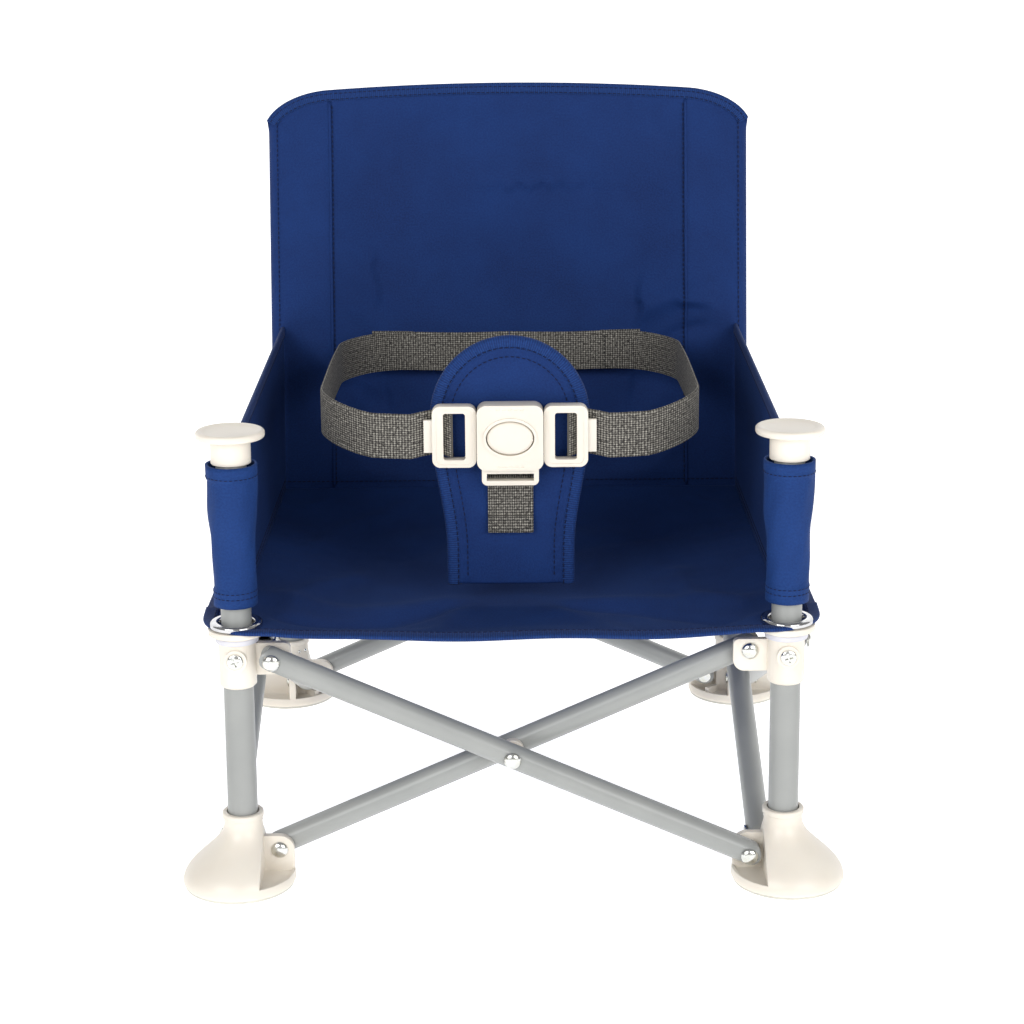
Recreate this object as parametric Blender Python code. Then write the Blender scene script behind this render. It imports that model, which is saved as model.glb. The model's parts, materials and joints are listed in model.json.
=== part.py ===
"""Low folding camp seat for a small child, with a waist belt and a crotch pad.

Frame: X right, Y back, Z up. The base is square, and every corner and every side is the front-left
corner or the front side turned by quarter turns about Z. Corners run front-left, front-right,
rear-right, rear-left; side 0 is the front. The rear posts and the back lean back above the seat.
Everything is drawn about the middle of the base, and moved forward at the end so that the origin is on
the ground below the middle of the whole seat.
"""

import math

import bmesh
import bpy
from mathutils import Matrix, Vector

MM = 0.001

# How finely round pieces are faceted
FACETS = 18
FINE_FACETS = 20
HOLE_FACETS = 8

# Clearances
GAP = 0.3 * MM  # between pieces that touch
RUNNING = 0.4 * MM  # between a post and the socket it slides out of
OVER = 1.0 * MM  # how far a cutter reaches past what it cuts, or a rib starts inside what bears it

# Base
POST_SPACING = 290.0 * MM  # between post axes, both ways
PIVOT_INSET = 19.0 * MM  # of every brace pivot, from its post's axis
FOOT_PIVOT_Z = 17.0 * MM
HUB_PIVOT_Z = 127.5 * MM

# Posts and braces
POST_D = 16.0 * MM
POST_WALL = 1.2 * MM
FRONT_POST_TOP = 243.0 * MM
BACK_LEAN = math.radians(9.0)
BRACE_D = 13.0 * MM
BRACE_WALL = 1.1 * MM
BRACE_GAP = 0.5 * MM  # between a brace and the lug or ear beside it
LUG_T = 4.0 * MM  # plates of the hubs and feet
LUG_ROOT = 1.5 * MM  # how far a plate starts inside the bore, before the bore is cut

# Rivets
RIVET_D = 4.8 * MM
RIVET_HEAD_D = 9.0 * MM
RIVET_DOME = 2.2 * MM
RIVET_TAIL_D = 8.0 * MM
RIVET_TAIL = 1.4 * MM
RIVET_CHAMFER = 0.4 * MM

# Feet
FOOT_R = 30.3 * MM  # outline of the base
FOOT_SHIFT = 2.5 * MM  # of the base outline outwards, both ways
FOOT_PLATE = 5.0 * MM
FOOT_FLOOR = 6.0 * MM  # where the post stands
FLARE_LOW = 3.0 * MM  # where the bell starts to draw in
FLARE_HIGH = 33.5 * MM  # where it meets the socket
SOCKET_TOP = 40.0 * MM
SOCKET_WALL = 1.95 * MM
WELL_WALL = 2.3 * MM  # from the socket's bore to the flat faces of the wells
EAR_MARGIN = 7.8 * MM  # of an ear beyond its pivot
RIB_T = 3.0 * MM
RIB_TOP = 9.0 * MM

# Hubs
COLLAR_WALL = 1.5 * MM
COLLAR_BELOW = 16.5 * MM  # from the pivot down
COLLAR_ABOVE = 8.0 * MM
COLLAR_CHAMFER = 0.8 * MM
RING_T = 3.2 * MM
RING_OVER = 1.6 * MM  # how far the ring stands out from the collar
FLANGE_T = 4.3 * MM
FLANGE_D = 30.0 * MM
FLANGE_RISE = 1.5 * MM  # of its slope from the ring out to the rim
LUG_BELOW = 11.0 * MM
LUG_ABOVE = 6.5 * MM
LUG_MARGIN = 8.8 * MM  # of a lug beyond its pivot
LUG_ROUND_LOW = 6.0 * MM
LUG_ROUND_HIGH = 3.0 * MM
BOSS_D = 12.0 * MM
BOSS_STAND = 1.8 * MM

# Caps and plugs
CAP_D = 36.0 * MM
CAP_T = 4.2 * MM
CAP_DISH = 0.9 * MM
CAP_EDGE_LOW = 1.5 * MM  # chamfers of the rim
CAP_EDGE_HIGH = 1.2 * MM
CAP_LIP = 1.8 * MM  # flat of the rim
CAP_SLOPE = 2.0 * MM  # down to the dish
CAP_NECK_WALL = 2.2 * MM
CAP_WEB = 2.4 * MM  # from the top of the post to the top of the cap's neck
PLUG_T = 2.5 * MM
PLUG_L = 14.0 * MM
PLUG_CHAMFER = 1.0 * MM

# Cover
CLOTH_T = 1.5 * MM
SEAT_OVER = 19.0 * MM  # of the seat beyond the post axes at the sides
SEAT_FRONT = 16.5 * MM  # and at the front and back
SEAT_CORNER_R = 30.0 * MM
SEAT_FOLD_INSET = 20.0 * MM  # of each half's folding line from the post axes
BACK_TOP = 400.0 * MM
BACK_OVER = 36.0 * MM  # of the back above the rear posts
BACK_ARCH = 7.0 * MM  # how much lower the back's top is at its sides
BACK_CORNER_W = 57.5 * MM
BACK_CORNER_H = 28.0 * MM
TUNNEL_W = 41.0 * MM
TUNNEL_SEAM = 3.0 * MM
SIDE_TOP_REAR = 245.0 * MM
SIDE_TOP_FRONT = 232.0 * MM
SLEEVE_LOW = 156.0 * MM
SLEEVE_WALL = 2.9 * MM

# Grommets
GROMMET_PLAY = 1.5 * MM  # all round the post
GROMMET_RIM = 4.5 * MM  # width of the ring
GROMMET_T = 3.4 * MM
GROMMET_EDGE = 0.6 * MM  # of its rims above the cloth
GROMMET_SLOPE_OUT = 1.6 * MM
GROMMET_SLOPE_IN = 1.2 * MM

# Crotch pad and strap
PAD_Y = -77.0 * MM
PAD_T = 8.0 * MM
PAD_TOP = 285.0 * MM
PAD_WIDE = 87.0 * MM
PAD_NARROW = 70.0 * MM
PAD_WIDE_Z = 240.0 * MM
PAD_FLARE = 1.0 * MM
WEB_W = 25.0 * MM
WEB_T = 1.6 * MM
STRAP_LOW = 176.0 * MM

# Buckle
BUCKLE_Z = 232.0 * MM
BUCKLE_W = 36.0 * MM
BUCKLE_H = 36.0 * MM
BUCKLE_T = 12.0 * MM
BUCKLE_CORNER = 5.0 * MM
TAIL_SIDE = 3.0 * MM  # at each side of the strap's slot
TAIL_L = 9.0 * MM
TAIL_T = 6.0 * MM
TAIL_CORNER = 3.0 * MM
STRAP_SLOT_LOW = 2.5 * MM  # above the tail's edge
STRAP_SLOT_H = 4.0 * MM
BUTTON_W = 25.0 * MM
BUTTON_H = 18.0 * MM
BUTTON_T = 5.0 * MM
BUTTON_EDGE = 0.9 * MM  # height of its bevel
BUTTON_CREST = 0.8  # share of the button's face within the bevel
BUTTON_STAND = 1.6 * MM
BUTTON_TRAVEL = 2.0 * MM
CLIP_W = 24.0 * MM
CLIP_BAR = 4.5 * MM  # above and below its slot
CLIP_T = 8.0 * MM
CLIP_CORNER = 4.0 * MM
CLIP_SLOT_W = 12.0 * MM
CLIP_TAB = 4.6 * MM
CLIP_TAB_H = 18.0 * MM
CLIP_TAB_T = 5.0 * MM
CLIP_ROOT = 2.0 * MM  # of the tab and the tongue inside the frame
CLIP_BACK = 0.5 * MM  # in front of the buckle's back
TONGUE_SKIN = 1.2 * MM  # behind the tongue
TONGUE_L = 9.0 * MM
TONGUE_H = 20.0 * MM
TONGUE_T = 4.0 * MM

# Waist belt, as seen from above
BELT_OUT = 105.0 * MM  # how far it swings out at each side
BELT_TURN_FRONT = 42.0 * MM
BELT_TURN_REAR = 54.6 * MM
BELT_SHIFT = 1.0 * MM  # behind the buckle's middle
BELT_BACK = 1.0 * MM  # from the back panel

# What follows from the sizes above
HALF = POST_SPACING / 2
POST_R = POST_D / 2
BRACE_R = BRACE_D / 2
PIVOT = HALF - PIVOT_INSET
BRACE_RUN = 2 * PIVOT
BRACE_RISE = HUB_PIVOT_Z - FOOT_PIVOT_Z
BRACE_LENGTH = math.hypot(BRACE_RUN, BRACE_RISE)
BRACE_ANGLE = math.atan2(BRACE_RISE, BRACE_RUN)
CENTRE_Z = (HUB_PIVOT_Z + FOOT_PIVOT_Z) / 2
OUTER_Y = -HALF - BRACE_GAP - BRACE_R
INNER_Y = -HALF + LUG_T + BRACE_GAP + BRACE_R
SOCKET_R = POST_R + RUNNING
HUB_BORE_R = POST_R + GAP
COLLAR_R = HUB_BORE_R + COLLAR_WALL
RING_LOW = HUB_PIVOT_Z + COLLAR_ABOVE
FLANGE_TOP = RING_LOW + RING_T + FLANGE_T
SEAT_LOW = FLANGE_TOP + GAP
SEAT_TOP = SEAT_LOW + CLOTH_T
COVER_LOW = SEAT_TOP + GAP
TUNNEL_R = POST_R + GAP
SLEEVE_BORE_R = POST_R + 2 * GAP
SLEEVE_R = SLEEVE_BORE_R + SLEEVE_WALL
CAP_NECK_R = POST_R + GAP + CAP_NECK_WALL
GROMMET_BORE_R = POST_R + GROMMET_PLAY
GROMMET_R = GROMMET_BORE_R + GROMMET_RIM
REAR_POST_TOP = BACK_TOP - BACK_OVER
BACK_HALF_W = HALF + TUNNEL_R + CLOTH_T
BACK_FRONT_Y = HALF - TUNNEL_R - CLOTH_T
BEND_Z = SEAT_TOP
PLUG_TOP = REAR_POST_TOP + GAP + PLUG_T
PAD_FRONT = PAD_Y - PAD_T / 2
BUCKLE_BACK = PAD_FRONT - WEB_T - 2 * GAP
BUCKLE_Y = BUCKLE_BACK - BUCKLE_T / 2
TAIL_W = WEB_W + 2 * TAIL_SIDE
CLIP_H = WEB_W + 2 * CLIP_BAR
TAIL_LOW = BUCKLE_Z - BUCKLE_H / 2 - TAIL_L
CLIP_END = BUCKLE_W / 2 + GAP + CLIP_W + CLIP_TAB

CORNERS = ("fl", "fr", "rr", "rl")
SIDES = ("front", "right", "rear", "left")


def clear_scene():
    for old in list(bpy.data.objects):
        bpy.data.objects.remove(old, do_unlink=True)


def material(name, colour, roughness, metallic=0.0):
    made = bpy.data.materials.new(name)
    made.use_nodes = True
    shader = made.node_tree.nodes["Principled BSDF"]
    shader.inputs["Base Color"].default_value = (*colour, 1.0)
    shader.inputs["Roughness"].default_value = roughness
    shader.inputs["Metallic"].default_value = metallic
    return made


# Shapes. Each of these returns a bmesh that holds one closed body.


def outward(bm):
    """Turns every face of a closed body to face out."""
    bmesh.ops.recalc_face_normals(bm, faces=bm.faces)
    if bm.calc_volume(signed=True) < 0:
        bmesh.ops.reverse_faces(bm, faces=bm.faces)
    return bm


def lathe(profile, segments):
    """Turns (radius, height) points about Z. A profile that ends on the axis is closed there."""
    bm = bmesh.new()
    rows = []
    for radius, height in profile:
        if radius < 1e-7:
            rows.append([bm.verts.new((0, 0, height))])
            continue
        turns = (2 * math.pi * i / segments for i in range(segments))
        rows.append([bm.verts.new((radius * math.cos(t), radius * math.sin(t), height)) for t in turns])
    closed = len(rows[0]) > 1
    pairs = list(zip(rows, rows[1:]))
    if closed:
        pairs.append((rows[-1], rows[0]))
    for low, high in pairs:
        for i in range(segments):
            j = (i + 1) % segments
            corners = [low[i % len(low)], low[j % len(low)], high[j % len(high)], high[i % len(high)]]
            bm.faces.new(list(dict.fromkeys(corners)))
    return outward(bm)


def loft(rings):
    """Skins a stack of rings with as many points each, and closes both ends."""
    bm = bmesh.new()
    rows = [[bm.verts.new(p) for p in ring] for ring in rings]
    for low, high in zip(rows, rows[1:]):
        for i in range(len(low)):
            j = (i + 1) % len(low)
            bm.faces.new((low[i], low[j], high[j], high[i]))
    bm.faces.new(rows[0])
    bm.faces.new(rows[-1])
    return outward(bm)


def prism(outline, low, high):
    """An outline of (x, y) points, from one height to another."""
    return loft([[(x, y, z) for x, y in outline] for z in (low, high)])


def block(low, high):
    (x0, y0, z0), (x1, y1, z1) = low, high
    return prism([(x0, y0), (x1, y0), (x1, y1), (x0, y1)], z0, z1)


def rod(radius, start, end, segments=HOLE_FACETS):
    """A round bar between two points."""
    start, end = Vector(start), Vector(end)
    bm = lathe([(0, 0), (radius, 0), (radius, (end - start).length), (0, (end - start).length)], segments)
    turn = Vector((0, 0, 1)).rotation_difference(end - start).to_matrix().to_4x4()
    bm.transform(Matrix.Translation(start) @ turn)
    return bm


def swapped(bm):
    """Exchanges X and Y."""
    bm.transform(Matrix(((0, 1, 0, 0), (1, 0, 0, 0), (0, 0, 1, 0), (0, 0, 0, 1))))
    return outward(bm)


def stand_up(bm):
    """Turns what was drawn in X and Y with height Z into X and Z with depth Y."""
    bm.transform(Matrix(((1, 0, 0, 0), (0, 0, 1, 0), (0, 1, 0, 0), (0, 0, 0, 1))))
    return outward(bm)


def arc(centre, radius, start, end, steps):
    """Points of an arc between two angles in degrees, both ends included."""
    turns = (math.radians(start + (end - start) * i / steps) for i in range(steps + 1))
    return [(centre[0] + radius * math.cos(t), centre[1] + radius * math.sin(t)) for t in turns]


def rounded(x0, y0, x1, y1, radius, steps=4):
    """A rectangle's outline with round corners, anticlockwise from the lower right."""
    corners = ((x1, y0, -1, 1, -90), (x1, y1, -1, -1, 0), (x0, y1, 1, -1, 90), (x0, y0, 1, 1, 180))
    points = []
    for x, y, inx, iny, start in corners:
        points += arc((x + inx * radius, y + iny * radius), radius, start, start + 90, steps)
    return points


def ellipse(width, height, steps):
    return [(x * width / 2, y * height / 2) for x, y in arc((0, 0), 1, 0, 360, steps)[:-1]]


def ribbon(path, thickness):
    """The outline of a strip that follows a path of (x, y) points."""
    near, far = [], []
    for i, point in enumerate(path):
        before, after = path[max(i - 1, 0)], path[min(i + 1, len(path) - 1)]
        along = Vector((after[0] - before[0], after[1] - before[1])).normalized()
        across = Vector((-along.y, along.x)) * thickness / 2
        near.append((point[0] + across.x, point[1] + across.y))
        far.append((point[0] - across.x, point[1] - across.y))
    return near + far[::-1]


def leant(mesh):
    """Leans what is above the seat back, as the rear posts bend."""
    for vertex in mesh.vertices:
        vertex.co.y += math.tan(BACK_LEAN) * max(vertex.co.z - BEND_Z, 0)
    return mesh


def worked(base, *steps):
    """Cuts from or adds to a body, in order, and returns the finished mesh."""
    scratch = []

    def scratch_object(bm):
        mesh = bpy.data.meshes.new("scratch")
        bm.to_mesh(mesh)
        bm.free()
        made = bpy.data.objects.new("scratch", mesh)
        bpy.context.scene.collection.objects.link(made)
        scratch.append(made)
        return made

    body = scratch_object(base)
    for operation, tool in steps:
        change = body.modifiers.new(operation, "BOOLEAN")
        change.operation = operation
        change.solver = "EXACT"
        change.object = scratch_object(tool)
    graph = bpy.context.evaluated_depsgraph_get()
    mesh = bpy.data.meshes.new_from_object(body.evaluated_get(graph))
    for used in scratch:
        bpy.data.objects.remove(used, do_unlink=True)
    return mesh


def placed(name, mesh, finish, matrix=None, origin=(0, 0, 0), lean=False, smooth=35.0):
    """Links a mesh that is drawn in place, with its object's origin at a chosen point."""
    mesh.transform(matrix or Matrix.Identity(4))
    if lean:
        leant(mesh)
    mesh.transform(Matrix.Translation(-Vector(origin)))
    mesh.name = name
    mesh.materials.clear()
    mesh.materials.append(finish)
    mesh.shade_smooth()
    mesh.set_sharp_from_angle(angle=math.radians(smooth))
    made = bpy.data.objects.new(name, mesh)
    made.location = origin
    bpy.context.scene.collection.objects.link(made)
    return made


def quarter(turns):
    return Matrix.Rotation(turns * math.pi / 2, 4, "Z")


def corner_matrix(turns):
    """From the frame of a corner piece, its post's axis at the origin, to where it stands."""
    return quarter(turns) @ Matrix.Translation((-HALF, -HALF, 0))


# Feet and hubs, drawn with the post's axis at the origin and the sides inwards along +X and +Y


def lug_work(outline, pivot_z):
    """A plate along each side with its rivet's hole, as steps for worked()."""
    work = []
    for second in (False, True):
        plate = stand_up(prism(outline, 0, LUG_T))
        low, high = ((PIVOT_INSET, y, pivot_z) for y in (-LUG_T, 2 * LUG_T))
        hole = rod(RIVET_D / 2 + GAP, low, high)
        if second:
            plate, hole = swapped(plate), swapped(hole)
        work += [("UNION", plate), ("DIFFERENCE", hole)]
    return work


def foot_mesh():
    def ring(height):
        share = min(max((height - FLARE_LOW) / (FLARE_HIGH - FLARE_LOW), 0), 1)
        flare = 0.5 * (1 + math.cos(math.pi * share))
        socket = SOCKET_R + SOCKET_WALL
        radius = socket + (FOOT_R - socket) * flare
        centre = -FOOT_SHIFT * flare
        return [(x, y, height) for x, y in arc((centre, centre), radius, 0, 360, FINE_FACETS)[:-1]]

    steps = 6
    heights = [FLARE_LOW + (FLARE_HIGH - FLARE_LOW) * i / steps for i in range(steps + 1)]
    bell = loft([ring(z) for z in (0.0, *heights, SOCKET_TOP)])
    well = SOCKET_R + WELL_WALL
    reach = 2 * FOOT_R
    inside = SOCKET_R - LUG_ROOT
    work = []
    for swap in (False, True):
        low = (-reach, well) if swap else (well, -reach)
        work.append(("DIFFERENCE", block((*low, FOOT_PLATE), (reach, reach, 2 * SOCKET_TOP))))
    tip = PIVOT_INSET + EAR_MARGIN
    ear = [(inside, FOOT_PLATE - OVER), (tip, FOOT_PLATE - OVER)]
    ear += arc((PIVOT_INSET, FOOT_PIVOT_Z), EAR_MARGIN, 0, 90, 4)
    ear += [(inside, FOOT_PIVOT_Z + EAR_MARGIN)]
    work += lug_work(ear, FOOT_PIVOT_Z)
    rib = block((inside, -RIB_T / 2, FOOT_PLATE - OVER), (FOOT_R - 2 * FOOT_SHIFT, RIB_T / 2, RIB_TOP))
    rib.transform(Matrix.Rotation(math.pi / 4, 4, "Z"))
    bore = rod(SOCKET_R, (0, 0, FOOT_FLOOR), (0, 0, 2 * SOCKET_TOP), FACETS)
    return worked(bell, *work, ("UNION", rib), ("DIFFERENCE", bore))


def hub_mesh(boss_along_x):
    low = HUB_PIVOT_Z - COLLAR_BELOW
    ring_r = COLLAR_R + RING_OVER
    ring_top = RING_LOW + RING_T
    outside = [(COLLAR_R - COLLAR_CHAMFER, low), (COLLAR_R, low + COLLAR_CHAMFER), (COLLAR_R, RING_LOW)]
    outside += [(ring_r, RING_LOW), (ring_r, ring_top), (FLANGE_D / 2, ring_top + FLANGE_RISE)]
    outside += [(FLANGE_D / 2, FLANGE_TOP), (0, FLANGE_TOP)]
    body = lathe([(0, low), *outside], FINE_FACETS)
    inside = HUB_BORE_R - LUG_ROOT
    z0, z1 = HUB_PIVOT_Z - LUG_BELOW, HUB_PIVOT_Z + LUG_ABOVE
    tip = PIVOT_INSET + LUG_MARGIN
    lug = [(inside, z0)] + arc((tip - LUG_ROUND_LOW, z0 + LUG_ROUND_LOW), LUG_ROUND_LOW, -90, 0, 4)
    lug += arc((tip - LUG_ROUND_HIGH, z1 - LUG_ROUND_HIGH), LUG_ROUND_HIGH, 0, 90, 2) + [(inside, z1)]
    work = lug_work(lug, HUB_PIVOT_Z)
    out = -COLLAR_R - BOSS_STAND
    face = (out, 0, HUB_PIVOT_Z) if boss_along_x else (0, out, HUB_PIVOT_Z)
    work.append(("UNION", rod(BOSS_D / 2, (0, 0, HUB_PIVOT_Z), face, 12)))
    bore = rod(HUB_BORE_R, (0, 0, low - OVER), (0, 0, FLANGE_TOP + OVER), FACETS)
    work.append(("DIFFERENCE", bore))
    return worked(body, *work)


def make_corners(plastic, tube):
    foot = foot_mesh()
    for turns, corner in enumerate(CORNERS):
        where = corner_matrix(turns)
        placed("foot_" + corner, foot.copy(), plastic, where, where.translation)
        origin = where.translation + Vector((0, 0, HUB_PIVOT_Z))
        placed("hub_" + corner, hub_mesh(turns % 2 == 1), plastic, where, origin)
        rear = turns > 1
        top = REAR_POST_TOP if rear else FRONT_POST_TOP
        low = FOOT_FLOOR + GAP
        bend = [BEND_Z] if rear else []
        wall = [(POST_R, z) for z in (low, *bend, top)]
        wall += [(POST_R - POST_WALL, z) for z in (top, *bend, low)]
        tube_mesh = worked(lathe(wall, FACETS))
        placed("post_" + corner, tube_mesh, tube, where, where.translation, lean=rear)


# Braces and rivets, drawn on the front side


def brace_mesh():
    """A tube from one pivot at the origin to the other along +X, with round flattened ends."""
    rings = []
    for end, sign in ((0.0, -1), (BRACE_LENGTH, 1)):
        stations = [math.radians(t) for t in (72, 46, 22, 0)]
        for turn in stations[::-sign]:
            height = BRACE_R * math.cos(turn)
            ring = []
            for y, z in arc((0, 0), BRACE_R, 0, 360, 16)[:-1]:
                ring.append((end + sign * BRACE_R * math.sin(turn), y, min(max(z, -height), height)))
            rings.append(ring)
    bore_r = BRACE_R - BRACE_WALL
    reach = BRACE_R + OVER
    work = [("DIFFERENCE", rod(bore_r, (-reach, 0, 0), (BRACE_LENGTH + reach, 0, 0), 10))]
    for x in (0, BRACE_LENGTH / 2, BRACE_LENGTH):
        work.append(("DIFFERENCE", rod(RIVET_D / 2 + GAP, (x, -BRACE_D, 0), (x, BRACE_D, 0))))
    return worked(loft(rings), *work)


def rivet_mesh(x, z, y0, y1):
    """A rivet along Y with its domed head before y0 and its tail behind y1."""
    head, tail, shank = RIVET_HEAD_D / 2, RIVET_TAIL_D / 2, RIVET_D / 2
    profile = [(0, -RIVET_DOME)]
    profile += [(head * math.sin(t), -RIVET_DOME * math.cos(t)) for t in (0.6, 1.15)]
    profile += [(head, 0), (shank, 0), (shank, y1 - y0), (tail, y1 - y0)]
    profile += [(tail - RIVET_CHAMFER, y1 - y0 + RIVET_TAIL), (0, y1 - y0 + RIVET_TAIL)]
    bm = lathe(profile, HOLE_FACETS)
    bm.transform(Matrix.Translation((x, y0, z)) @ Matrix.Rotation(-math.pi / 2, 4, "X"))
    return worked(bm)


def make_sides(tube, zinc):
    """On every side the outer brace falls to the far corner's foot and the inner one rises from the near."""
    brace = brace_mesh()
    plate_y = (-HALF, -HALF + LUG_T)
    for turns, side in enumerate(SIDES):
        where = quarter(turns)
        started_at_outer = side == "left"
        for layer in ("inner", "outer"):
            outer = layer == "outer"
            y = OUTER_Y if outer else INNER_Y
            foot = Vector((PIVOT if outer else -PIVOT, y, FOOT_PIVOT_Z))
            hub = Vector((-foot.x, y, HUB_PIVOT_Z))
            tilt = math.pi + BRACE_ANGLE if outer else -BRACE_ANGLE
            laid = Matrix.Translation(foot) @ Matrix.Rotation(tilt, 4, "Y")
            hinge = foot if outer == started_at_outer else (foot + hub) / 2
            placed("brace_" + side + "_" + layer, brace.copy(), tube, where @ laid, where @ hinge)
            before = (y - BRACE_R if outer else plate_y[0]) - GAP
            behind = (plate_y[1] if outer else y + BRACE_R) + GAP
            for end, point in (("foot", foot), ("hub", hub)):
                mesh = rivet_mesh(point.x, point.z, before, behind)
                placed("rivet_" + side + "_" + layer + "_" + end, mesh, zinc, where, where @ point)
        mesh = rivet_mesh(0, CENTRE_Z, OUTER_Y - BRACE_R - GAP, INNER_Y + BRACE_R + GAP)
        middle = where @ Vector((0, OUTER_Y, CENTRE_Z))
        placed("rivet_" + side + "_centre", mesh, zinc, where, middle)


def make_post_ends(plastic):
    cap_low = SIDE_TOP_FRONT + GAP
    disc_low = FRONT_POST_TOP + GAP + CAP_WEB
    top = disc_low + CAP_T
    neck, rim = CAP_NECK_R, CAP_D / 2
    lip = rim - CAP_EDGE_HIGH - CAP_LIP
    bore = POST_R + GAP
    profile = [(0, FRONT_POST_TOP + GAP), (bore, FRONT_POST_TOP + GAP), (bore, cap_low), (neck, cap_low)]
    profile += [(neck, disc_low), (rim - CAP_EDGE_LOW, disc_low), (rim, disc_low + CAP_EDGE_LOW)]
    profile += [(rim, top - CAP_EDGE_LOW), (rim - CAP_EDGE_HIGH, top), (lip, top)]
    profile += [(lip - CAP_SLOPE, top - CAP_DISH), (0, top - CAP_DISH)]
    plug_r = POST_R - POST_WALL - GAP
    low = REAR_POST_TOP + GAP
    plug = [(0, low - PLUG_L), (plug_r, low - PLUG_L), (plug_r, low), (POST_R, low)]
    plug += [(POST_R - PLUG_CHAMFER, low + PLUG_T), (0, low + PLUG_T)]
    for name, turns, outline in (
        ("cap_left", 0, profile),
        ("cap_right", 1, profile),
        ("post_plug_rr", 2, plug),
        ("post_plug_rl", 3, plug),
    ):
        where = corner_matrix(turns)
        mesh = worked(lathe(outline, FINE_FACETS))
        placed(name, mesh, plastic, where, where.translation, lean=turns > 1)


# Cover


def mirrored(bm, mirror):
    if mirror:
        bm.transform(Matrix.Scale(-1, 4, (1, 0, 0)))
        outward(bm)
    return bm


def make_seat(fabric, chrome):
    wide, deep = HALF + SEAT_OVER, HALF + SEAT_FRONT
    hole_r = GROMMET_R + GAP
    for side in ("left", "right"):
        flip = side == "right"
        outline = [(-GAP / 2, -deep), (-GAP / 2, deep)]
        outline += arc((-wide + SEAT_CORNER_R, deep - SEAT_CORNER_R), SEAT_CORNER_R, 90, 180, 6)
        outline += arc((-wide + SEAT_CORNER_R, -deep + SEAT_CORNER_R), SEAT_CORNER_R, 180, 270, 6)
        work = []
        for y, radius in ((-HALF, hole_r), (HALF, GROMMET_BORE_R)):
            ends = ((-HALF, y, SEAT_LOW - CLOTH_T), (-HALF, y, SEAT_TOP + CLOTH_T))
            work.append(("DIFFERENCE", mirrored(rod(radius, *ends, FACETS), flip)))
        sheet = mirrored(prism(outline, SEAT_LOW, SEAT_TOP), flip)
        fold = (HALF - SEAT_FOLD_INSET) * (1 if flip else -1)
        placed("seat_half_" + side, worked(sheet, *work), fabric, origin=(fold, 0, SEAT_LOW))
        inner, outer = GROMMET_BORE_R, GROMMET_R
        profile = [(inner, SEAT_LOW), (outer, SEAT_LOW), (outer, SEAT_TOP + GROMMET_EDGE)]
        profile += [(outer - GROMMET_SLOPE_OUT, SEAT_LOW + GROMMET_T)]
        profile += [(inner + GROMMET_SLOPE_IN, SEAT_LOW + GROMMET_T), (inner, SEAT_TOP + GROMMET_EDGE)]
        where = corner_matrix(1 if flip else 0)
        placed("grommet_" + side, worked(lathe(profile, FACETS)), chrome, where, where.translation)


def back_top(x):
    """The back's upper edge: a low arch that falls away round each corner."""
    past = min(max((abs(x) - BACK_HALF_W) / BACK_CORNER_W + 1, 0), 1)
    corner = BACK_CORNER_H * (1 - math.sqrt(1 - past * past))
    return BACK_TOP - BACK_ARCH * (x / BACK_HALF_W) ** 2 - corner


def make_back(fabric):
    """A sheet with a tunnel at each side for a rear post, open below and closed above."""
    front, back = BACK_FRONT_Y, 2 * HALF - BACK_FRONT_Y
    seam = BACK_HALF_W - TUNNEL_W
    half = [(seam, front + CLOTH_T), (seam + TUNNEL_R, back)]
    half += arc((BACK_HALF_W - TUNNEL_R, HALF), TUNNEL_R + CLOTH_T, 90, -90, 8)
    half[-1] = (half[-1][0], front)
    half = [(min(x, BACK_HALF_W), y) for x, y in half]
    outline = half + [(-x, y) for x, y in half[::-1]]
    tall = prism(outline, COVER_LOW, BACK_TOP)
    over = BACK_HALF_W + OVER
    face = [(-over, COVER_LOW - OVER), (over, COVER_LOW - OVER)]
    shares = (1, 0.97, 0.93, 0.88, 0.81, 0.72, 0.62, 0.4, 0.2, 0)
    right = [(x * BACK_HALF_W, back_top(x * BACK_HALF_W)) for x in shares]
    face += [(over, right[0][1])] + right + [(-x, z) for x, z in right[-2::-1]] + [(-over, right[0][1])]
    window = stand_up(prism(face, front - OVER, back + OVER))
    work = [("INTERSECT", window)]
    for sign in (-1, 1):
        tunnel = arc((BACK_HALF_W - CLOTH_T - TUNNEL_R, HALF), TUNNEL_R, 90, -90, 8)
        tunnel += [(seam + TUNNEL_SEAM, front + CLOTH_T), (seam + TUNNEL_R + CLOTH_T, back - CLOTH_T)]
        tunnel = [(sign * x, y) for x, y in tunnel]
        work.append(("DIFFERENCE", prism(tunnel, COVER_LOW - OVER, PLUG_TOP + GAP)))
    placed("back_panel", worked(tall, *work), fabric, origin=(-HALF, HALF, HUB_PIVOT_Z), lean=True)


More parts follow.
